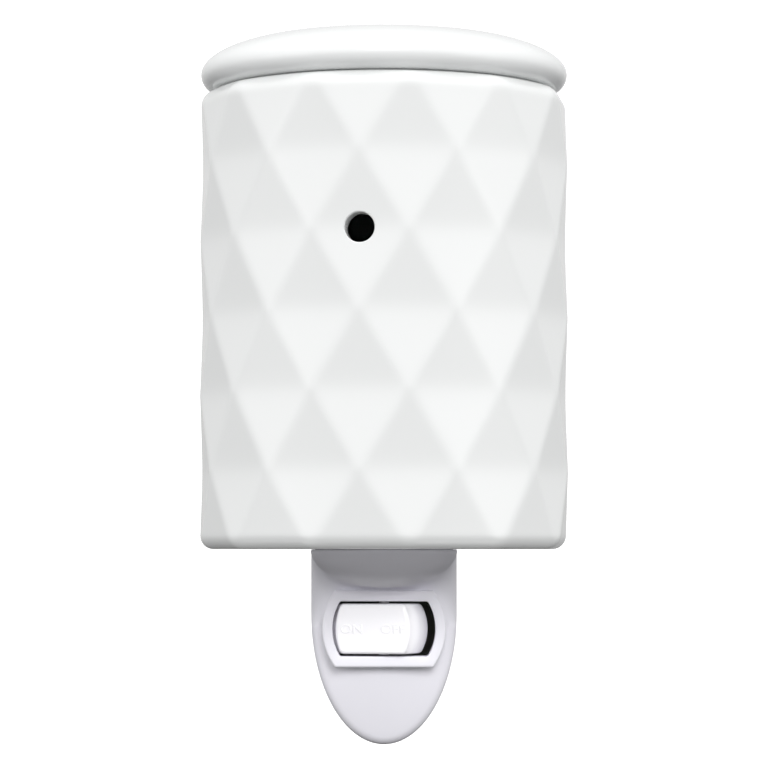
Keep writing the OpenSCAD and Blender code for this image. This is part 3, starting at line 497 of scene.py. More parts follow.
def relief_tree():
    """Geometry nodes that press the diamond relief into a round wall."""
    tree = bpy.data.node_groups.new("diamond_relief", "GeometryNodeTree")
    tree.interface.new_socket("Geometry", in_out="INPUT", socket_type="NodeSocketGeometry")
    for label in ("Radius", "Axis Y", "Base Z", "Row Height", "Column Angle", "Softness", "Crease"):
        tree.interface.new_socket(label, in_out="INPUT", socket_type="NodeSocketFloat")
    tree.interface.new_socket("Glaze", in_out="INPUT", socket_type="NodeSocketMaterial")
    tree.interface.new_socket("Geometry", in_out="OUTPUT", socket_type="NodeSocketGeometry")
    inside = tree.nodes.new("NodeGroupInput")
    out = tree.nodes.new("NodeGroupOutput")
    size = inside.outputs
    position = tree.nodes.new("GeometryNodeInputPosition")
    split = tree.nodes.new("ShaderNodeSeparateXYZ")
    tree.links.new(position.outputs[0], split.inputs[0])
    x, y, z = split.outputs
    forward = calc(tree, "SUBTRACT", size["Axis Y"], y)
    angle = calc(tree, "ARCTAN2", x, forward)
    column = calc(tree, "SUBTRACT", calc(tree, "DIVIDE", angle, size["Column Angle"]), 0.5)
    nearest = calc(tree, "ROUND", column)
    offset = calc(tree, "SUBTRACT", column, nearest)
    row = calc(tree, "DIVIDE", calc(tree, "SUBTRACT", z, size["Base Z"]), size["Row Height"])
    low = calc(tree, "MULTIPLY", size["Radius"], calc(tree, "COSINE", size["Column Angle"]))
    rise = calc(tree, "SUBTRACT", size["Radius"], low)
    facets = []
    for step in (0, -1, 1):
        wave = calc(tree, "ADD", calc(tree, "ADD", row, nearest), 100 + step)
        away = calc(tree, "SUBTRACT", 1.0, calc(tree, "PINGPONG", wave, 1.0))
        soft = calc(tree, "SQRT", calc(tree, "ADD", calc(tree, "MULTIPLY", away, away),
                                       calc(tree, "MULTIPLY", size["Softness"], size["Softness"])))
        soft = calc(tree, "SUBTRACT", soft, calc(tree, "MULTIPLY", size["Softness"], 0.5))
        reach = calc(tree, "MULTIPLY_ADD", rise, soft, low)
        turn = calc(tree, "MULTIPLY", calc(tree, "SUBTRACT", offset, step), size["Column Angle"])
        facets.append(calc(tree, "DIVIDE", reach, calc(tree, "COSINE", turn)))
    facet = calc(tree, "SMOOTH_MIN", facets[0], facets[1], size["Crease"])
    facet = calc(tree, "SMOOTH_MIN", facet, facets[2], size["Crease"])
    facet = calc(tree, "SMOOTH_MIN", facet, size["Radius"], calc(tree, "MULTIPLY", size["Crease"], 0.5))
    press = calc(tree, "SUBTRACT", facet, size["Radius"])
    weight = tree.nodes.new("GeometryNodeInputNamedAttribute")
    weight.data_type = "FLOAT"
    weight.inputs["Name"].default_value = "relief"
    press = calc(tree, "MULTIPLY", press, weight.outputs["Attribute"])
    shift = tree.nodes.new("ShaderNodeCombineXYZ")
    tree.links.new(calc(tree, "MULTIPLY", press, calc(tree, "SINE", angle)), shift.inputs["X"])
    back = calc(tree, "MULTIPLY", press, calc(tree, "COSINE", angle))
    tree.links.new(calc(tree, "MULTIPLY", back, -1.0), shift.inputs["Y"])
    move = tree.nodes.new("GeometryNodeSetPosition")
    tree.links.new(size["Geometry"], move.inputs["Geometry"])
    tree.links.new(shift.outputs[0], move.inputs["Offset"])
    solid = tree.nodes.new("GeometryNodeRealizeInstances")
    tree.links.new(move.outputs[0], solid.inputs[0])
    paint = tree.nodes.new("GeometryNodeSetMaterial")
    tree.links.new(solid.outputs[0], paint.inputs["Geometry"])
    tree.links.new(size["Glaze"], paint.inputs["Material"])
    tree.links.new(paint.outputs[0], out.inputs["Geometry"])
    return tree


def set_inputs(mod, **values):
    """Sets a node modifier's inputs by the identifiers of their sockets."""
    for item in mod.node_group.interface.items_tree:
        key = item.name.lower().replace(" ", "_")
        if item.in_out == "INPUT" and key in values:
            mod[item.identifier] = values[key]


class WARMER_OT_shade(bpy.types.Operator):
    """Adds the ceramic shade with its diamond relief and vent hole"""
    bl_idname = "warmer.add_shade"
    bl_label = "Add Shade"

    def execute(self, context):
        s = context.scene.warmer_shade
        glaze = finish_material("shade_glaze", s.glaze, drift=0.008, rough=(0.36, 0.44), cloud=35, grain=420,
                                bump=0.10, depth=0.00006, coat_weight=0.25, coat_roughness=0.18)
        obj = shade_blank(s)
        mod = obj.modifiers.new("relief", "NODES")
        mod.node_group = relief_tree()
        row = (SHADE_TOP - SHADE_LOW) / s.rows
        set_inputs(mod, radius=s.radius, axis_y=AXIS_Y, base_z=SHADE_LOW, row_height=row,
                   column_angle=pi / s.diamonds, softness=s.softness, crease=s.crease, glaze=glaze)
        bake(obj)
        vent_angle = -pi / s.diamonds / 2
        out = Vector((sin(vent_angle), -cos(vent_angle), 0))
        centre = Vector((0, AXIS_Y, SHADE_LOW + row * VENT_ROW))
        wall = s.radius * cos(pi / s.diamonds)
        r, flare = s.vent / 2, VENT_FLARE
        profile = [(0, s.inner_radius - 3 * MM), (r, s.inner_radius - 3 * MM)]
        profile += [(r + flare - flare * cos(radians(a)), wall - flare + flare * sin(radians(a)))
                    for a in range(0, 81, 10)]
        profile += [(r + flare * 1.1, wall + 1.5 * MM), (0, wall + 1.5 * MM)]
        cutter = lathe("vent_cutter", profile, 64)
        turn = out.to_track_quat("Z", "Y").to_matrix().to_4x4()
        cutter.data.transform(Matrix.Translation(centre) @ turn)
        combine(obj, cutter, "DIFFERENCE")
        dress(obj, glaze)
        shade_smooth(obj, radians(40))
        place(obj, "housing", "shade_glaze", "ceramic_shade")
        return {"FINISHED"}


# Dish

class WARMER_OT_dish(bpy.types.Operator):
    """Adds the loose melting dish"""
    bl_idname = "warmer.add_dish"
    bl_label = "Add Dish"

    def execute(self, context):
        s = context.scene.warmer_dish
        lip = (DISH_BOX[1].x - DISH_BOX[0].x) / 2
        nose, mid = s.nose, lip - s.nose
        ridge_r, ridge_h, mouth_round, floor_r = 26 * MM, 7.4 * MM, 1.6 * MM, 16 * MM
        bottom = ridge_h - s.bowl_depth - 4 * MM
        outer_r, outer_floor = context.scene.warmer_shade.inner_radius - 1.1 * MM, 20 * MM
        inner_floor = bottom + 4 * MM
        outline = [(0, bottom + 0.5 * MM), (outer_floor - 4 * MM, bottom + 0.4 * MM)]
        outline += [(outer_floor - 2 * MM, bottom)]
        outline += arc(outer_floor, bottom + 5 * MM, 5 * MM, -80, -25, 8)
        outline += arc(outer_r - 12 * MM, -6.5 * MM, 12 * MM, -20, 12, 8)
        outline += [(outer_r, -nose - 0.3 * MM), (outer_r + 0.4 * MM, -nose), (mid, -nose)]
        outline += arc(mid, 0, nose, -75, 0, 14)
        steps = 36
        for i in range(1, steps + 1):
            share = cos(pi / 2 * i / steps)
            height = ridge_h * (1 - share ** 1.35) ** (1 / 2.1)
            outline.append((ridge_r + (lip - ridge_r) * share, height))
        outline += arc(ridge_r, ridge_h - mouth_round, mouth_round, 96, 172, 10)
        outline += arc(floor_r, inner_floor + 8 * MM, 8 * MM, 0, -90, 14)
        outline += [(floor_r * 0.5, inner_floor), (0, inner_floor)]
        level = DISH_BOX[1].z - ridge_h
        obj = lathe("dish", [(r, level + z) for r, z in outline], 256, (0, AXIS_Y))
        glaze = finish_material("dish_glaze", s.glaze, drift=0.008, rough=(0.10, 0.16), cloud=40, grain=260,
                                bump=0.06, depth=0.00008, coat_weight=0.6, coat_roughness=0.06)
        dress(obj, glaze)
        shade_smooth(obj, radians(50))
        place(obj, "dish", "dish_glaze", "wax_dish")
        return {"FINISHED"}


# Plug housing

PART_D = REAR_BOX[1].y - REAR_BOX[0].y
HOUSE_HALF = HOUSE_BOX[1].x
HOUSE_TIP = HOUSE_BOX[0].z
HOUSE_TOP = SHADE_LOW - 0.05 * MM
HOUSE_DEPTH = 34 * MM
NECK_R, NECK_BORE_R = 11 * MM, 9.3 * MM
NECK_TOP = HOUSE_BOX[1].z
ARM_HALF = 16 * MM
GASKET_R, GASKET_SEAT = 15 * MM, 0.9 * MM
BEZEL_BACK, BEZEL_FRONT, SKIRT_END = 34.2 * MM, 35.8 * MM, 27.6 * MM

# Width, height and bulge of the ends
FLANGE = (27.3 * MM, 17 * MM, 2.85 * MM)
SEAT = (26.8 * MM, 16.5 * MM, 2.85 * MM)
OPENING = (22.7 * MM, 12.06 * MM, 1.7 * MM)
SKIRT = (24.7 * MM, 13.8 * MM, 1.7 * MM)
SWITCH_CUT = (24.9 * MM, 14.0 * MM, 1.7 * MM)

# Screws on the wall plane, as (x, z)
SCREW_SPOTS = ((-12.2 * MM, 12.8 * MM), (12.2 * MM, 12.8 * MM), (0, -20.4 * MM))


def moulded_plastic():
    """Satin plastic of the housing, the switch's frame and the small moulded parts."""
    tint = bpy.context.scene.warmer_housing.plastic
    return finish_material("moulded_plastic", tint, drift=0.01, rough=(0.34, 0.42), cloud=80, grain=1600,
                           bump=0.10, depth=0.00003)


def house_ring(half, tip, side_end, top, steps=72):
    """The housing's outline: straight sides, a flat top and half an ellipse below, as (x, z)."""
    ring = [(half, top)]
    ring += [(half * cos(pi * i / steps), side_end - tip * sin(pi * i / steps)) for i in range(steps + 1)]
    return ring + [(-half, top)]


def house_dome(name, s, inset, steps=24):
    """The housing's front: straight sides, a round edge and a crowned face."""
    side_end = SHADE_LOW - s.straight
    half, tip, top = HOUSE_HALF - inset, side_end - HOUSE_TIP - inset, HOUSE_TOP - inset
    edge, face = s.edge_round - inset, HOUSE_DEPTH - inset
    last = radians(65)
    spans = [(0, 1, PART_D - (1 * MM if inset else 0))]
    for i in range(9):
        a = last * i / 8
        spans.append((edge * (1 - cos(a)), 1, face - s.crown - edge * (sin(last) - sin(a))))
    drawn_in = spans[-1][0]
    for i in range(1, steps + 1):
        share = cos(pi / 2 * 0.97 * i / steps)
        spans.append((drawn_in, share, face - s.crown * share * share))
    rings = []
    for shrink, share, depth in spans:
        out = max(0, depth - PART_D)
        share *= 1 - s.draft * out / (HOUSE_DEPTH - PART_D)
        ring = house_ring((half - shrink) * share, (tip - shrink) * share, side_end, top)
        rings.append([(x, s.lean * out * (max(0, side_end - z) / tip) ** 2 - depth, z) for x, z in ring])
    return skin(name, rings)


def house_arm(name, s, inset, start, sections=20, turns=32):
    """The arm that carries the shade: half an ellipse in section, round at its end."""
    half, drop, top = ARM_HALF - inset, s.arm_drop - 2 * inset, HOUSE_TOP - inset
    rings = []
    for j in range(sections + 1):
        a = pi / 2 * j / sections
        r = max(half * cos(a), 0.02 * MM)
        ring = [(r, -start, top - drop * sin(a))]
        ring += [(r * cos(pi * i / turns), AXIS_Y - r * sin(pi * i / turns), top - drop * sin(a))
                 for i in range(turns + 1)]
        rings.append(ring + [(-r, -start, top - drop * sin(a))])
    return skin(name, rings)


class WARMER_OT_housing(bpy.types.Operator):
    """Adds the two shells of the plug housing"""
    bl_idname = "warmer.add_housing"
    bl_label = "Add Plug Housing"

    def execute(self, context):
        s = context.scene.warmer_housing
        for shell, node in ((self.front(s), "front_shell"), (self.rear(s), "rear_shell")):
            place(dress(shell, moulded_plastic()), "housing", "white_plastic", node)
        return {"FINISHED"}

    def front(self, s):
        """Front shell: housing, arm, neck and the seat of the switch, fused, then hollowed."""
        obj = house_dome("front_shell_skin", s, 0)
        seat = barrel(SEAT, 0.4 * MM)
        join(obj, [
            house_arm("arm", s, 0, PART_D + 2 * MM),
            rod("neck", (0, AXIS_Y, HOUSE_TOP - 4 * MM), (0, AXIS_Y, NECK_TOP), NECK_R, 96),
            prism("seat", seat, PART_D + 13 * MM, BEZEL_BACK),
        ])
        melt_together(obj, 0.42 * MM, 6)
        under = HOUSE_TOP - s.arm_drop

        def in_corner(point):
            side = ramp(abs(point.x), 2 * MM, 9 * MM)
            ahead = ramp(-point.y, HOUSE_DEPTH - 13 * MM, HOUSE_DEPTH - 8 * MM)
            ahead *= 1 - ramp(-point.y, HOUSE_DEPTH + 3 * MM, HOUSE_DEPTH + 8 * MM)
            high = ramp(point.z, under - 9 * MM, under - 4 * MM)
            high *= 1 - ramp(point.z, HOUSE_TOP - 1.6 * MM, HOUSE_TOP)
            return side * ahead * high

        soften_part(obj, in_corner, 1000)
        trim = block("trim", (-0.05, -PART_D, -0.05), (0.05, 0.02, 0.05))
        combine(obj, trim, "DIFFERENCE")
        combine(obj, house_dome("hollow", s, s.wall, 12), "DIFFERENCE")
        combine(obj, house_arm("arm_hollow", s, s.wall, PART_D + 1 * MM, 10, 20), "DIFFERENCE")
        bore_low = HOUSE_TOP - s.arm_drop + s.wall + 1.5 * MM
        bore = rod("bore", (0, AXIS_Y, bore_low), (0, AXIS_Y, NECK_TOP + 5 * MM), NECK_BORE_R, 64)
        combine(obj, bore, "DIFFERENCE")
        cut = barrel(SWITCH_CUT, 0.2 * MM)
        combine(obj, prism("switch_cut", cut, SKIRT_END - 1 * MM, BEZEL_FRONT + 2 * MM), "DIFFERENCE")
        low, high = HOUSE_TOP - GASKET_SEAT, HOUSE_TOP + 1 * MM
        groove = [(NECK_R, low), (GASKET_R, low), (GASKET_R, high), (NECK_R, high)]
        combine(obj, lathe("gasket_groove", groove, 96, (0, AXIS_Y)), "DIFFERENCE")
        return shade_smooth(obj, radians(42))

    def rear(self, s):
        """Rear shell: a tray with a round edge at the wall, the hub's seat and the screws' recesses."""
        side_end = SHADE_LOW - s.straight
        tip = side_end - HOUSE_TIP
        edge, groove = 1.2 * MM, 0.25 * MM
        spans = [(edge - edge * sin(radians(a)), edge - edge * cos(radians(a))) for a in range(0, 91, 15)]
        spans += [(0, PART_D - groove), (groove, PART_D)]
        rings = []
        for inset, depth in spans:
            ring = house_ring(HOUSE_HALF - inset, tip - inset, side_end, HOUSE_TOP - inset)
            rings.append([(x, -depth, z) for x, z in ring])
        obj = skin("rear_shell_skin", rings)
        inner = house_ring(HOUSE_HALF - s.wall, tip - s.wall, side_end, HOUSE_TOP - s.wall)
        combine(obj, prism("tray", inner, 3.2 * MM, PART_D + 1 * MM), "DIFFERENCE")
        cuts = [("hub_seat", (0, 0), 13.25 * MM, 1.0 * MM), ("hub_bore", (0, 0), 11.6 * MM, 6 * MM)]
        cuts += [(f"screw_seat_{i}", spot, 2.6 * MM, 2.4 * MM) for i, spot in enumerate(SCREW_SPOTS)]
        for name, (x, z), r, depth in cuts:
            combine(obj, rod(name, (x, 1 * MM, z), (x, -depth, z), r, 72), "DIFFERENCE")
        return shade_smooth(obj)


# Switch

ROCKER_FACE = 12 * MM
ROCKER_CORNER = 1.1 * MM
ROCKER_EDGE = 0.9 * MM
LETTER_STRETCH = 1.15


def as_rocker(obj):
    """Turns a piece from the rocker's own frame to where it rests."""
    obj.data.transform(Matrix.Translation(PIVOT) @ Matrix.Rotation(REST_TILT, 4, "Z"))
    return obj


class WARMER_OT_switch(bpy.types.Operator):
    """Adds the switch: its bezel, its rocker and the raised ON and OFF"""
    bl_idname = "warmer.add_switch"
    bl_label = "Add Switch"

    def execute(self, context):
        s = context.scene.warmer_switch
        gloss = finish_material("rocker_plastic", s.rocker, drift=0.006, rough=(0.22, 0.30), cloud=120,
                                grain=1800, bump=0.05, depth=0.00002)
        place(dress(self.bezel(), moulded_plastic()), "housing", "white_plastic", "switch_bezel")
        place(dress(self.rocker(), gloss), "rocker", "rocker_plastic", "switch_rocker")
        for text, x in (("ON", -4.7 * MM), ("OFF", 4.7 * MM)):
            place(dress(self.letters(s, text, x), gloss), "rocker", "rocker_plastic")
        return {"FINISHED"}

    def bezel(self):
        """A ring whose section runs round the flange, the opening and the skirt."""
        edge, lip = 0.55 * MM, 0.35 * MM
        section = [(FLANGE, 0, BEZEL_BACK)]
        section += [(FLANGE, edge * (1 - cos(radians(a))), BEZEL_FRONT - edge * (1 - sin(radians(a))))
                    for a in range(0, 91, 15)]
        section += [(OPENING, -lip * (1 - sin(radians(a))), BEZEL_FRONT - lip * (1 - cos(radians(a))))
                    for a in range(0, 91, 15)]
        section += [(OPENING, 0, SKIRT_END), (SKIRT, 0, SKIRT_END), (SKIRT, 0, BEZEL_BACK)]
        rings = []
        for size, inset, depth in section:
            ring = barrel(size, max(0.7 * MM - inset, 0.05 * MM), inset)
            rings.append([(x, -depth, z) for x, z in ring])
        return shade_smooth(skin("bezel", rings, looped=True), radians(40))

    def rocker(self):
        """A block with sloping ends, soft edges, its pivot and its nose."""
        back, shoulder = 3 * MM, 9 * MM
        half_h, edge = 5.5 * MM, 0.7 * MM
        # Depth, half length, half height and bulge of each outline, from the back to the face
        spans = [(back, 10.55 * MM, half_h, 1.6 * MM), (shoulder - 1.2 * MM, 9.95 * MM, half_h, 1.6 * MM),
                 (shoulder, 9.7 * MM, half_h, 1.6 * MM), (shoulder + 1 * MM, 9.25 * MM, half_h, 1.55 * MM),
                 (ROCKER_FACE - ROCKER_EDGE, 8.5 * MM, half_h, 1.4 * MM)]
        for a in range(10, 91, 16):
            drawn_in = 1 - cos(radians(a))
            depth = ROCKER_FACE - ROCKER_EDGE + ROCKER_EDGE * sin(radians(a))
            bulge = (1.4 - 0.5 * a / 90) * MM
            spans.append((depth, 8.5 * MM - drawn_in * MM, half_h - edge * drawn_in, bulge))
        rings = []
        for depth, half, half_height, bulge in spans:
            ring = barrel((2 * half, 2 * half_height, bulge), ROCKER_CORNER)
            rings.append([(x, -depth, z) for x, z in ring])
        obj = skin("rocker", rings)
        hub = rod("hub", (0, 0, -half_h), (0, 0, half_h), 2.8 * MM)
        pin = rod("pin", (0, 0, -6.7 * MM), (0, 0, 6.7 * MM), 1.2 * MM)
        nose = block("nose", (-1.9 * MM, -3.5 * MM, -2.5 * MM), (1.9 * MM, 3.4 * MM, 2.5 * MM))
        for part in (hub, pin, nose):
            combine(obj, part, "UNION")
        combine(obj, rod("bore", (0, -3 * MM, 0), (0, 8 * MM, 0), 1.3 * MM), "DIFFERENCE")
        return shade_smooth(as_rocker(obj), radians(50))

    def letters(self, s, text, x):
        """Raised letters on the rocker's face."""
        curve = bpy.data.curves.new("letters", "FONT")
        curve.body = text
        curve.align_x = "CENTER"
        curve.align_y = "CENTER"
        curve.extrude = 0.05
        curve.bevel_depth = 0.008
        curve.bevel_resolution = 1
        obj = new_object(f"letters_{text.lower()}", curve)
        graph = bpy.context.evaluated_depsgraph_get()
        mesh = bpy.data.meshes.new_from_object(obj.evaluated_get(graph), depsgraph=graph)
        bpy.data.objects.remove(obj)
        low = min(v.co.y for v in mesh.vertices)
        high = max(v.co.y for v in mesh.vertices)
        mid = (max(v.co.x for v in mesh.vertices) + min(v.co.x for v in mesh.vertices)) / 2
        scale = s.letter_height / (high - low)
        thick = max(v.co.z for v in mesh.vertices)
        for v in mesh.vertices:
            v.co = Vector(((v.co.x - mid) * scale * LETTER_STRETCH + x,
                           -ROCKER_FACE - v.co.z / thick * s.letter_rise,
                           (v.co.y - (low + high) / 2) * scale))
        tidy_mesh(mesh)
        return shade_smooth(as_rocker(new_object(f"letters_{text.lower()}", mesh)), radians(30))


# Lamp

class WARMER_OT_lamp(bpy.types.Operator):
    """Adds the bulb's smooth glass"""
    bl_idname = "warmer.add_lamp"
    bl_label = "Add Lamp"

    def execute(self, context):
        low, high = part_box("bulb_glass")
        r, neck, wall = (high.x - low.x) / 2, 5.4 * MM, 0.7 * MM
        span = high.z - low.z

        def profile(inset):
            bottom, top, wide = low.z + inset, high.z - inset, low.z + 0.42 * span
            points = [(0, bottom), (neck - 0.5 * MM - inset, bottom)]
            for i in range(1, 25):
                out = neck - inset + (r - neck) * sin(pi / 2 * i / 24) ** 1.6
                points.append((out, bottom + (wide - bottom) * i / 24))
            for i in range(1, 32):
                turn = pi / 2 * i / 32
                points.append(((r - inset) * cos(turn) ** 0.85, wide + (top - wide) * sin(turn) ** 1.15))
            return points + [(0, top)]

        obj = lathe("bulb_envelope", profile(0), 96, (0, AXIS_Y))
        inner = lathe("bulb_inside", profile(wall), 96, (0, AXIS_Y))
        inner.data.flip_normals()
        join(obj, [inner])
        dress(obj, clear_glass("bulb_glass_clear", (0.97, 0.98, 1.0)))
        shade_smooth(obj, radians(60))
        place(obj, "bulb", "bulb_glass", "bulb_glass")
        return {"FINISHED"}


# Finishes of the carried-over pieces

def node_finishes():
    """Material of each piece that keeps its solid."""
    brass = finish_material("stamped_brass", (0.72, 0.52, 0.24), drift=0.06, rough=(0.22, 0.36),
                            metallic=1, bump=0.08)
    blade = finish_material("blade_brass", (0.76, 0.60, 0.33), drift=0.05, rough=(0.20, 0.34), metallic=1,
                            cloud=120, grain=1400, bump=0.12)
    steel = finish_material("plated_steel", (0.56, 0.57, 0.59), drift=0.05, rough=(0.25, 0.4),
                            metallic=1, bump=0.08)
    bronze = finish_material("spring_bronze", (0.62, 0.36, 0.18), drift=0.06, rough=(0.25, 0.4), metallic=1)
    switch = finish_material("switch_plastic", (0.16, 0.175, 0.13), rough=(0.45, 0.6), bump=0.1)
    holder = finish_material("holder_plastic", (0.72, 0.71, 0.66), rough=(0.45, 0.6), bump=0.15)
    silicone = finish_material("silicone_rubber", (0.55, 0.55, 0.56), rough=(0.55, 0.7), bump=0.1)
    fibre = finish_material("pressed_fibre", (0.20, 0.17, 0.14), drift=0.15, rough=(0.75, 0.9),
                            bump=0.5, grain=700)
    board = finish_material("laminate_board", (0.26, 0.13, 0.05), drift=0.12, rough=(0.5, 0.65), bump=0.2)
    line = finish_material("line_insulation", (0.015, 0.015, 0.016), rough=(0.4, 0.5))
    neutral = finish_material("neutral_insulation", (0.75, 0.75, 0.72), rough=(0.4, 0.5))
    dark = finish_material("dark_glass", (0.012, 0.012, 0.016), rough=(0.08, 0.15))
    wire = finish_material("filament_wire", (0.25, 0.25, 0.27), rough=(0.35, 0.5), metallic=1)
    glass = clear_glass("stem_glass", (0.95, 0.97, 1.0))
    groups = {
        brass: ("rocker_plunger", "contact_bar", "common_terminal", "load_terminal", "lamp_screw_shell",
                "bulb_base", "line_slip_ring", "neutral_stud"),
        blade: ("line_blade", "neutral_blade"),
        steel: ("housing_screws", "rocker_spring", "holder_screws", "hub_clip", "bulb_tip_contact"),
        bronze: ("lamp_center_contact", "line_wiper", "neutral_wiper"),
        moulded_plastic(): ("clamp_ring_nut", "plug_hub"),
        switch: ("switch_body",), holder: ("lamp_holder",), silicone: ("shade_gasket",),
        fibre: ("clamp_washer",), board: ("contact_board",),
        line: ("line_wire", "switched_wire"), neutral: ("neutral_wire",),
        dark: ("bulb_insulator",), wire: ("bulb_filament",), glass: ("bulb_stem",),
    }
    return {node: material for material, nodes in groups.items() for node in nodes}


class WARMER_OT_finishes(bpy.types.Operator):
    """Gives each carried-over piece its procedural finish"""
    bl_idname = "warmer.add_finishes"
    bl_label = "Finish Metal and Small Parts"

    def execute(self, context):
        for node, material in node_finishes().items():
            obj = frame["nodes"][node]
            if not obj.material_slots:
                obj.data.materials.append(material)
            for held in obj.material_slots:
                held.material = material
        return {"FINISHED"}


# Stage

# Soft panels: name, place, size, power and, where it lights only some pieces, how their names start
PANELS = (
    ("key", (0.15, -0.9, 0.8), 0.7, 0.8, ()),
    ("left_fill", (-0.75, -0.45, 0.05), 0.5, 0.55, ()),
    ("right_fill", (0.75, -0.45, 0.05), 0.5, 0.65, ()),
    ("plastic_fill", (0.1, -0.9, 0.3), 0.3, 3.8, ("front_shell", "rear_shell", "bezel", "rocker", "letters")),
    ("rocker_fill", (0.35, -0.85, 0.05), 0.2, 2.0, ("rocker", "letters")),
    ("shade_key", (0.1, -0.5, 1.15), 0.4, 3.0, ("shade",)),
    ("shade_low_left", (-0.6, -0.2, -0.75), 0.5, 1.0, ("shade",)),
    ("shade_low_right", (0.6, -0.2, -0.75), 0.5, 1.0, ("shade",)),
    ("dish_fill", (0.0, -0.9, 0.35), 0.3, 1.5, ("dish",)),
)
AIM_HEIGHT = 0.07


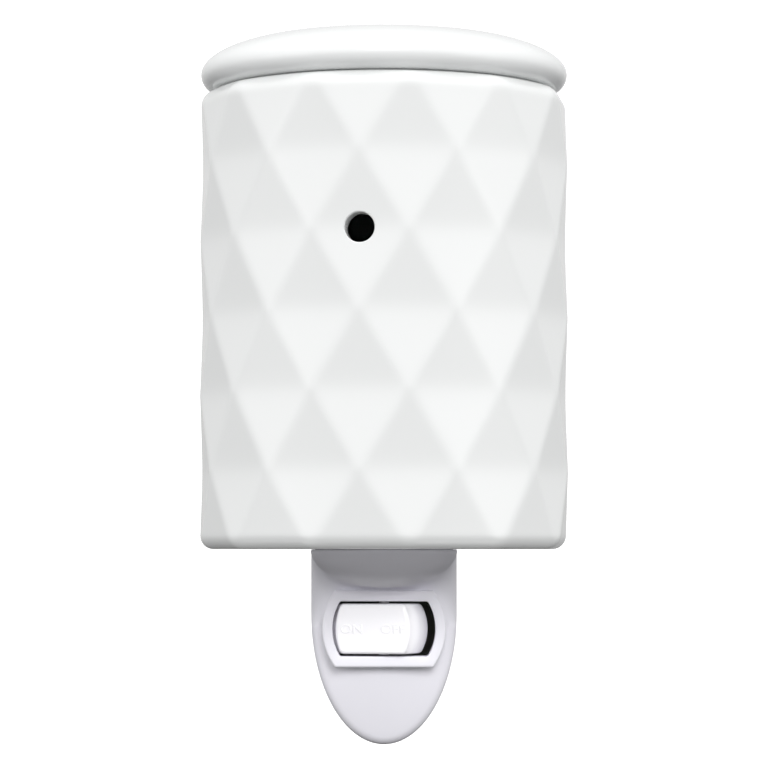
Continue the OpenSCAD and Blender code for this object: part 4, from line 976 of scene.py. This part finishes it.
class WARMER_OT_stage(bpy.types.Operator):
    """Adds the floor, the soft lights and the camera"""
    bl_idname = "warmer.add_stage"
    bl_label = "Add Stage"

    def execute(self, context):
        s = context.scene.warmer_stage
        self.camera(context.scene, s)
        self.sweep(s)
        self.lights(context.scene, s)
        return {"FINISHED"}

    def camera(self, scene, s):
        """The photograph's view: level with the shade's underside, tilted up a little."""
        data = bpy.data.cameras.new("camera")
        data.sensor_width = 36
        data.lens = s.lens
        data.clip_start, data.clip_end = 0.01, 20
        cam = bpy.data.objects.new("camera", data)
        cam.location = (0, AXIS_Y - s.distance, SHADE_LOW)
        cam.rotation_euler = (pi / 2 + s.tilt, 0, 0)
        scene.collection.objects.link(cam)
        scene.camera = cam

    def sweep(self, s):
        """A pale floor that curves up into a backdrop."""
        half, front, back, bend, top = 9.0, -9.0, 1.6, 0.8, 3.0
        outline = [(front, -s.floor_drop), (back - bend, -s.floor_drop)]
        outline += [(back - bend + bend * sin(radians(a)), -s.floor_drop + bend * (1 - cos(radians(a))))
                    for a in range(6, 91, 6)]
        outline += [(back, top)]
        vertices = [(x, y, z) for y, z in outline for x in (-half, half)]
        faces = [(2 * i, 2 * i + 1, 2 * i + 3, 2 * i + 2) for i in range(len(outline) - 1)]
        mesh = bpy.data.meshes.new("floor")
        mesh.from_pydata(vertices, [], faces)
        mesh.polygons.foreach_set("use_smooth", [True] * len(mesh.polygons))
        paint = finish_material("pale_floor", s.pale, drift=0.0, rough=(0.8, 0.9), bump=0)
        obj = dress(new_object("floor", mesh), paint)
        shader = paint.node_tree.nodes["Principled BSDF"]
        shader.inputs["Emission Color"].default_value = (1, 1, 1, 1)
        shader.inputs["Emission Strength"].default_value = 0.5
        obj.visible_diffuse = obj.visible_glossy = obj.visible_shadow = False

    def lit_pieces(self, starts):
        """A collection of the pieces whose names start so, which a light of their own makes brighter."""
        lit = bpy.data.collections.new("lit_" + starts[0])
        for obj in bpy.data.objects:
            if obj.name.startswith(starts):
                lit.objects.link(obj)
        return lit

    def lights(self, scene, s):
        """Light from all round, weaker from above, behind and below, and soft panels."""
        world = bpy.data.worlds.new("studio")
        world.use_nodes = True
        tree = world.node_tree
        way = tree.nodes.new("ShaderNodeTexCoord")
        split = tree.nodes.new("ShaderNodeSeparateXYZ")
        tree.links.new(way.outputs["Object"], split.inputs[0])
        glow = calc(tree, "MULTIPLY_ADD", split.outputs["Z"], s.overhead, 1.0)
        for axis, low, high, dim, full in (("Z", -0.3, 0.2, s.below, 1.0), ("Y", -0.5, 0.5, 1.0, s.behind)):
            fall = tree.nodes.new("ShaderNodeMapRange")
            fall.interpolation_type = "SMOOTHSTEP"
            tree.links.new(split.outputs[axis], fall.inputs["Value"])
            for key, value in (("From Min", low), ("From Max", high), ("To Min", dim), ("To Max", full)):
                fall.inputs[key].default_value = value
            glow = calc(tree, "MULTIPLY", glow, fall.outputs["Result"])
        glow = calc(tree, "MULTIPLY", glow, s.sky)
        tree.links.new(glow, tree.nodes["Background"].inputs["Strength"])
        tree.nodes["Background"].inputs["Color"].default_value = (1, 1, 1, 1)
        scene.world = world
        aim = Vector((0, AXIS_Y, AIM_HEIGHT))
        for name, place_at, size, power, lit in PANELS:
            data = bpy.data.lights.new(name, "AREA")
            data.size = size
            data.energy = power
            lamp = bpy.data.objects.new(name, data)
            lamp.location = place_at
            lamp.rotation_mode = "QUATERNION"
            lamp.rotation_quaternion = (aim - Vector(place_at)).to_track_quat("-Z", "Y")
            scene.collection.objects.link(lamp)
            if lit:
                lamp.light_linking.receiver_collection = self.lit_pieces(lit)
        scene.view_settings.view_transform = "Standard"


class WARMER_PT_panel(bpy.types.Panel):
    """Lists the warmer's pieces and their sizes"""
    bl_idname = "WARMER_PT_panel"
    bl_label = "Wax Melt Warmer"
    bl_space_type = "VIEW_3D"
    bl_region_type = "UI"
    bl_category = "Warmer"

    def draw(self, context):
        for name, operators in STEPS:
            box = self.layout.box()
            settings = getattr(context.scene, name, None)
            for key in getattr(type(settings), "__annotations__", ()):
                box.prop(settings, key)
            for operator in operators:
                box.operator(operator.bl_idname)


SETTINGS = {
    "warmer_shade": ShadeSettings, "warmer_dish": DishSettings, "warmer_housing": HousingSettings,
    "warmer_switch": SwitchSettings, "warmer_stage": StageSettings,
}
STEPS = (
    ("warmer_shade", (WARMER_OT_shade,)), ("warmer_dish", (WARMER_OT_dish,)),
    ("warmer_housing", (WARMER_OT_housing,)), ("warmer_switch", (WARMER_OT_switch,)),
    ("warmer_lamp", (WARMER_OT_lamp, WARMER_OT_finishes)), ("warmer_stage", (WARMER_OT_stage,)),
)
OPERATORS = [operator for _, operators in STEPS for operator in operators]


def register():
    for cls in (*SETTINGS.values(), *OPERATORS, WARMER_PT_panel):
        bpy.utils.register_class(cls)
    for name, cls in SETTINGS.items():
        setattr(bpy.types.Scene, name, bpy.props.PointerProperty(type=cls))


def unregister():
    for name in SETTINGS:
        delattr(bpy.types.Scene, name)
    for cls in (WARMER_PT_panel, *reversed(OPERATORS), *reversed(list(SETTINGS.values()))):
        bpy.utils.unregister_class(cls)


def main():
    register()
    for operator in OPERATORS:
        group, call = operator.bl_idname.split(".")
        getattr(getattr(bpy.ops, group), call)()


if __name__ == "__main__":
    main()
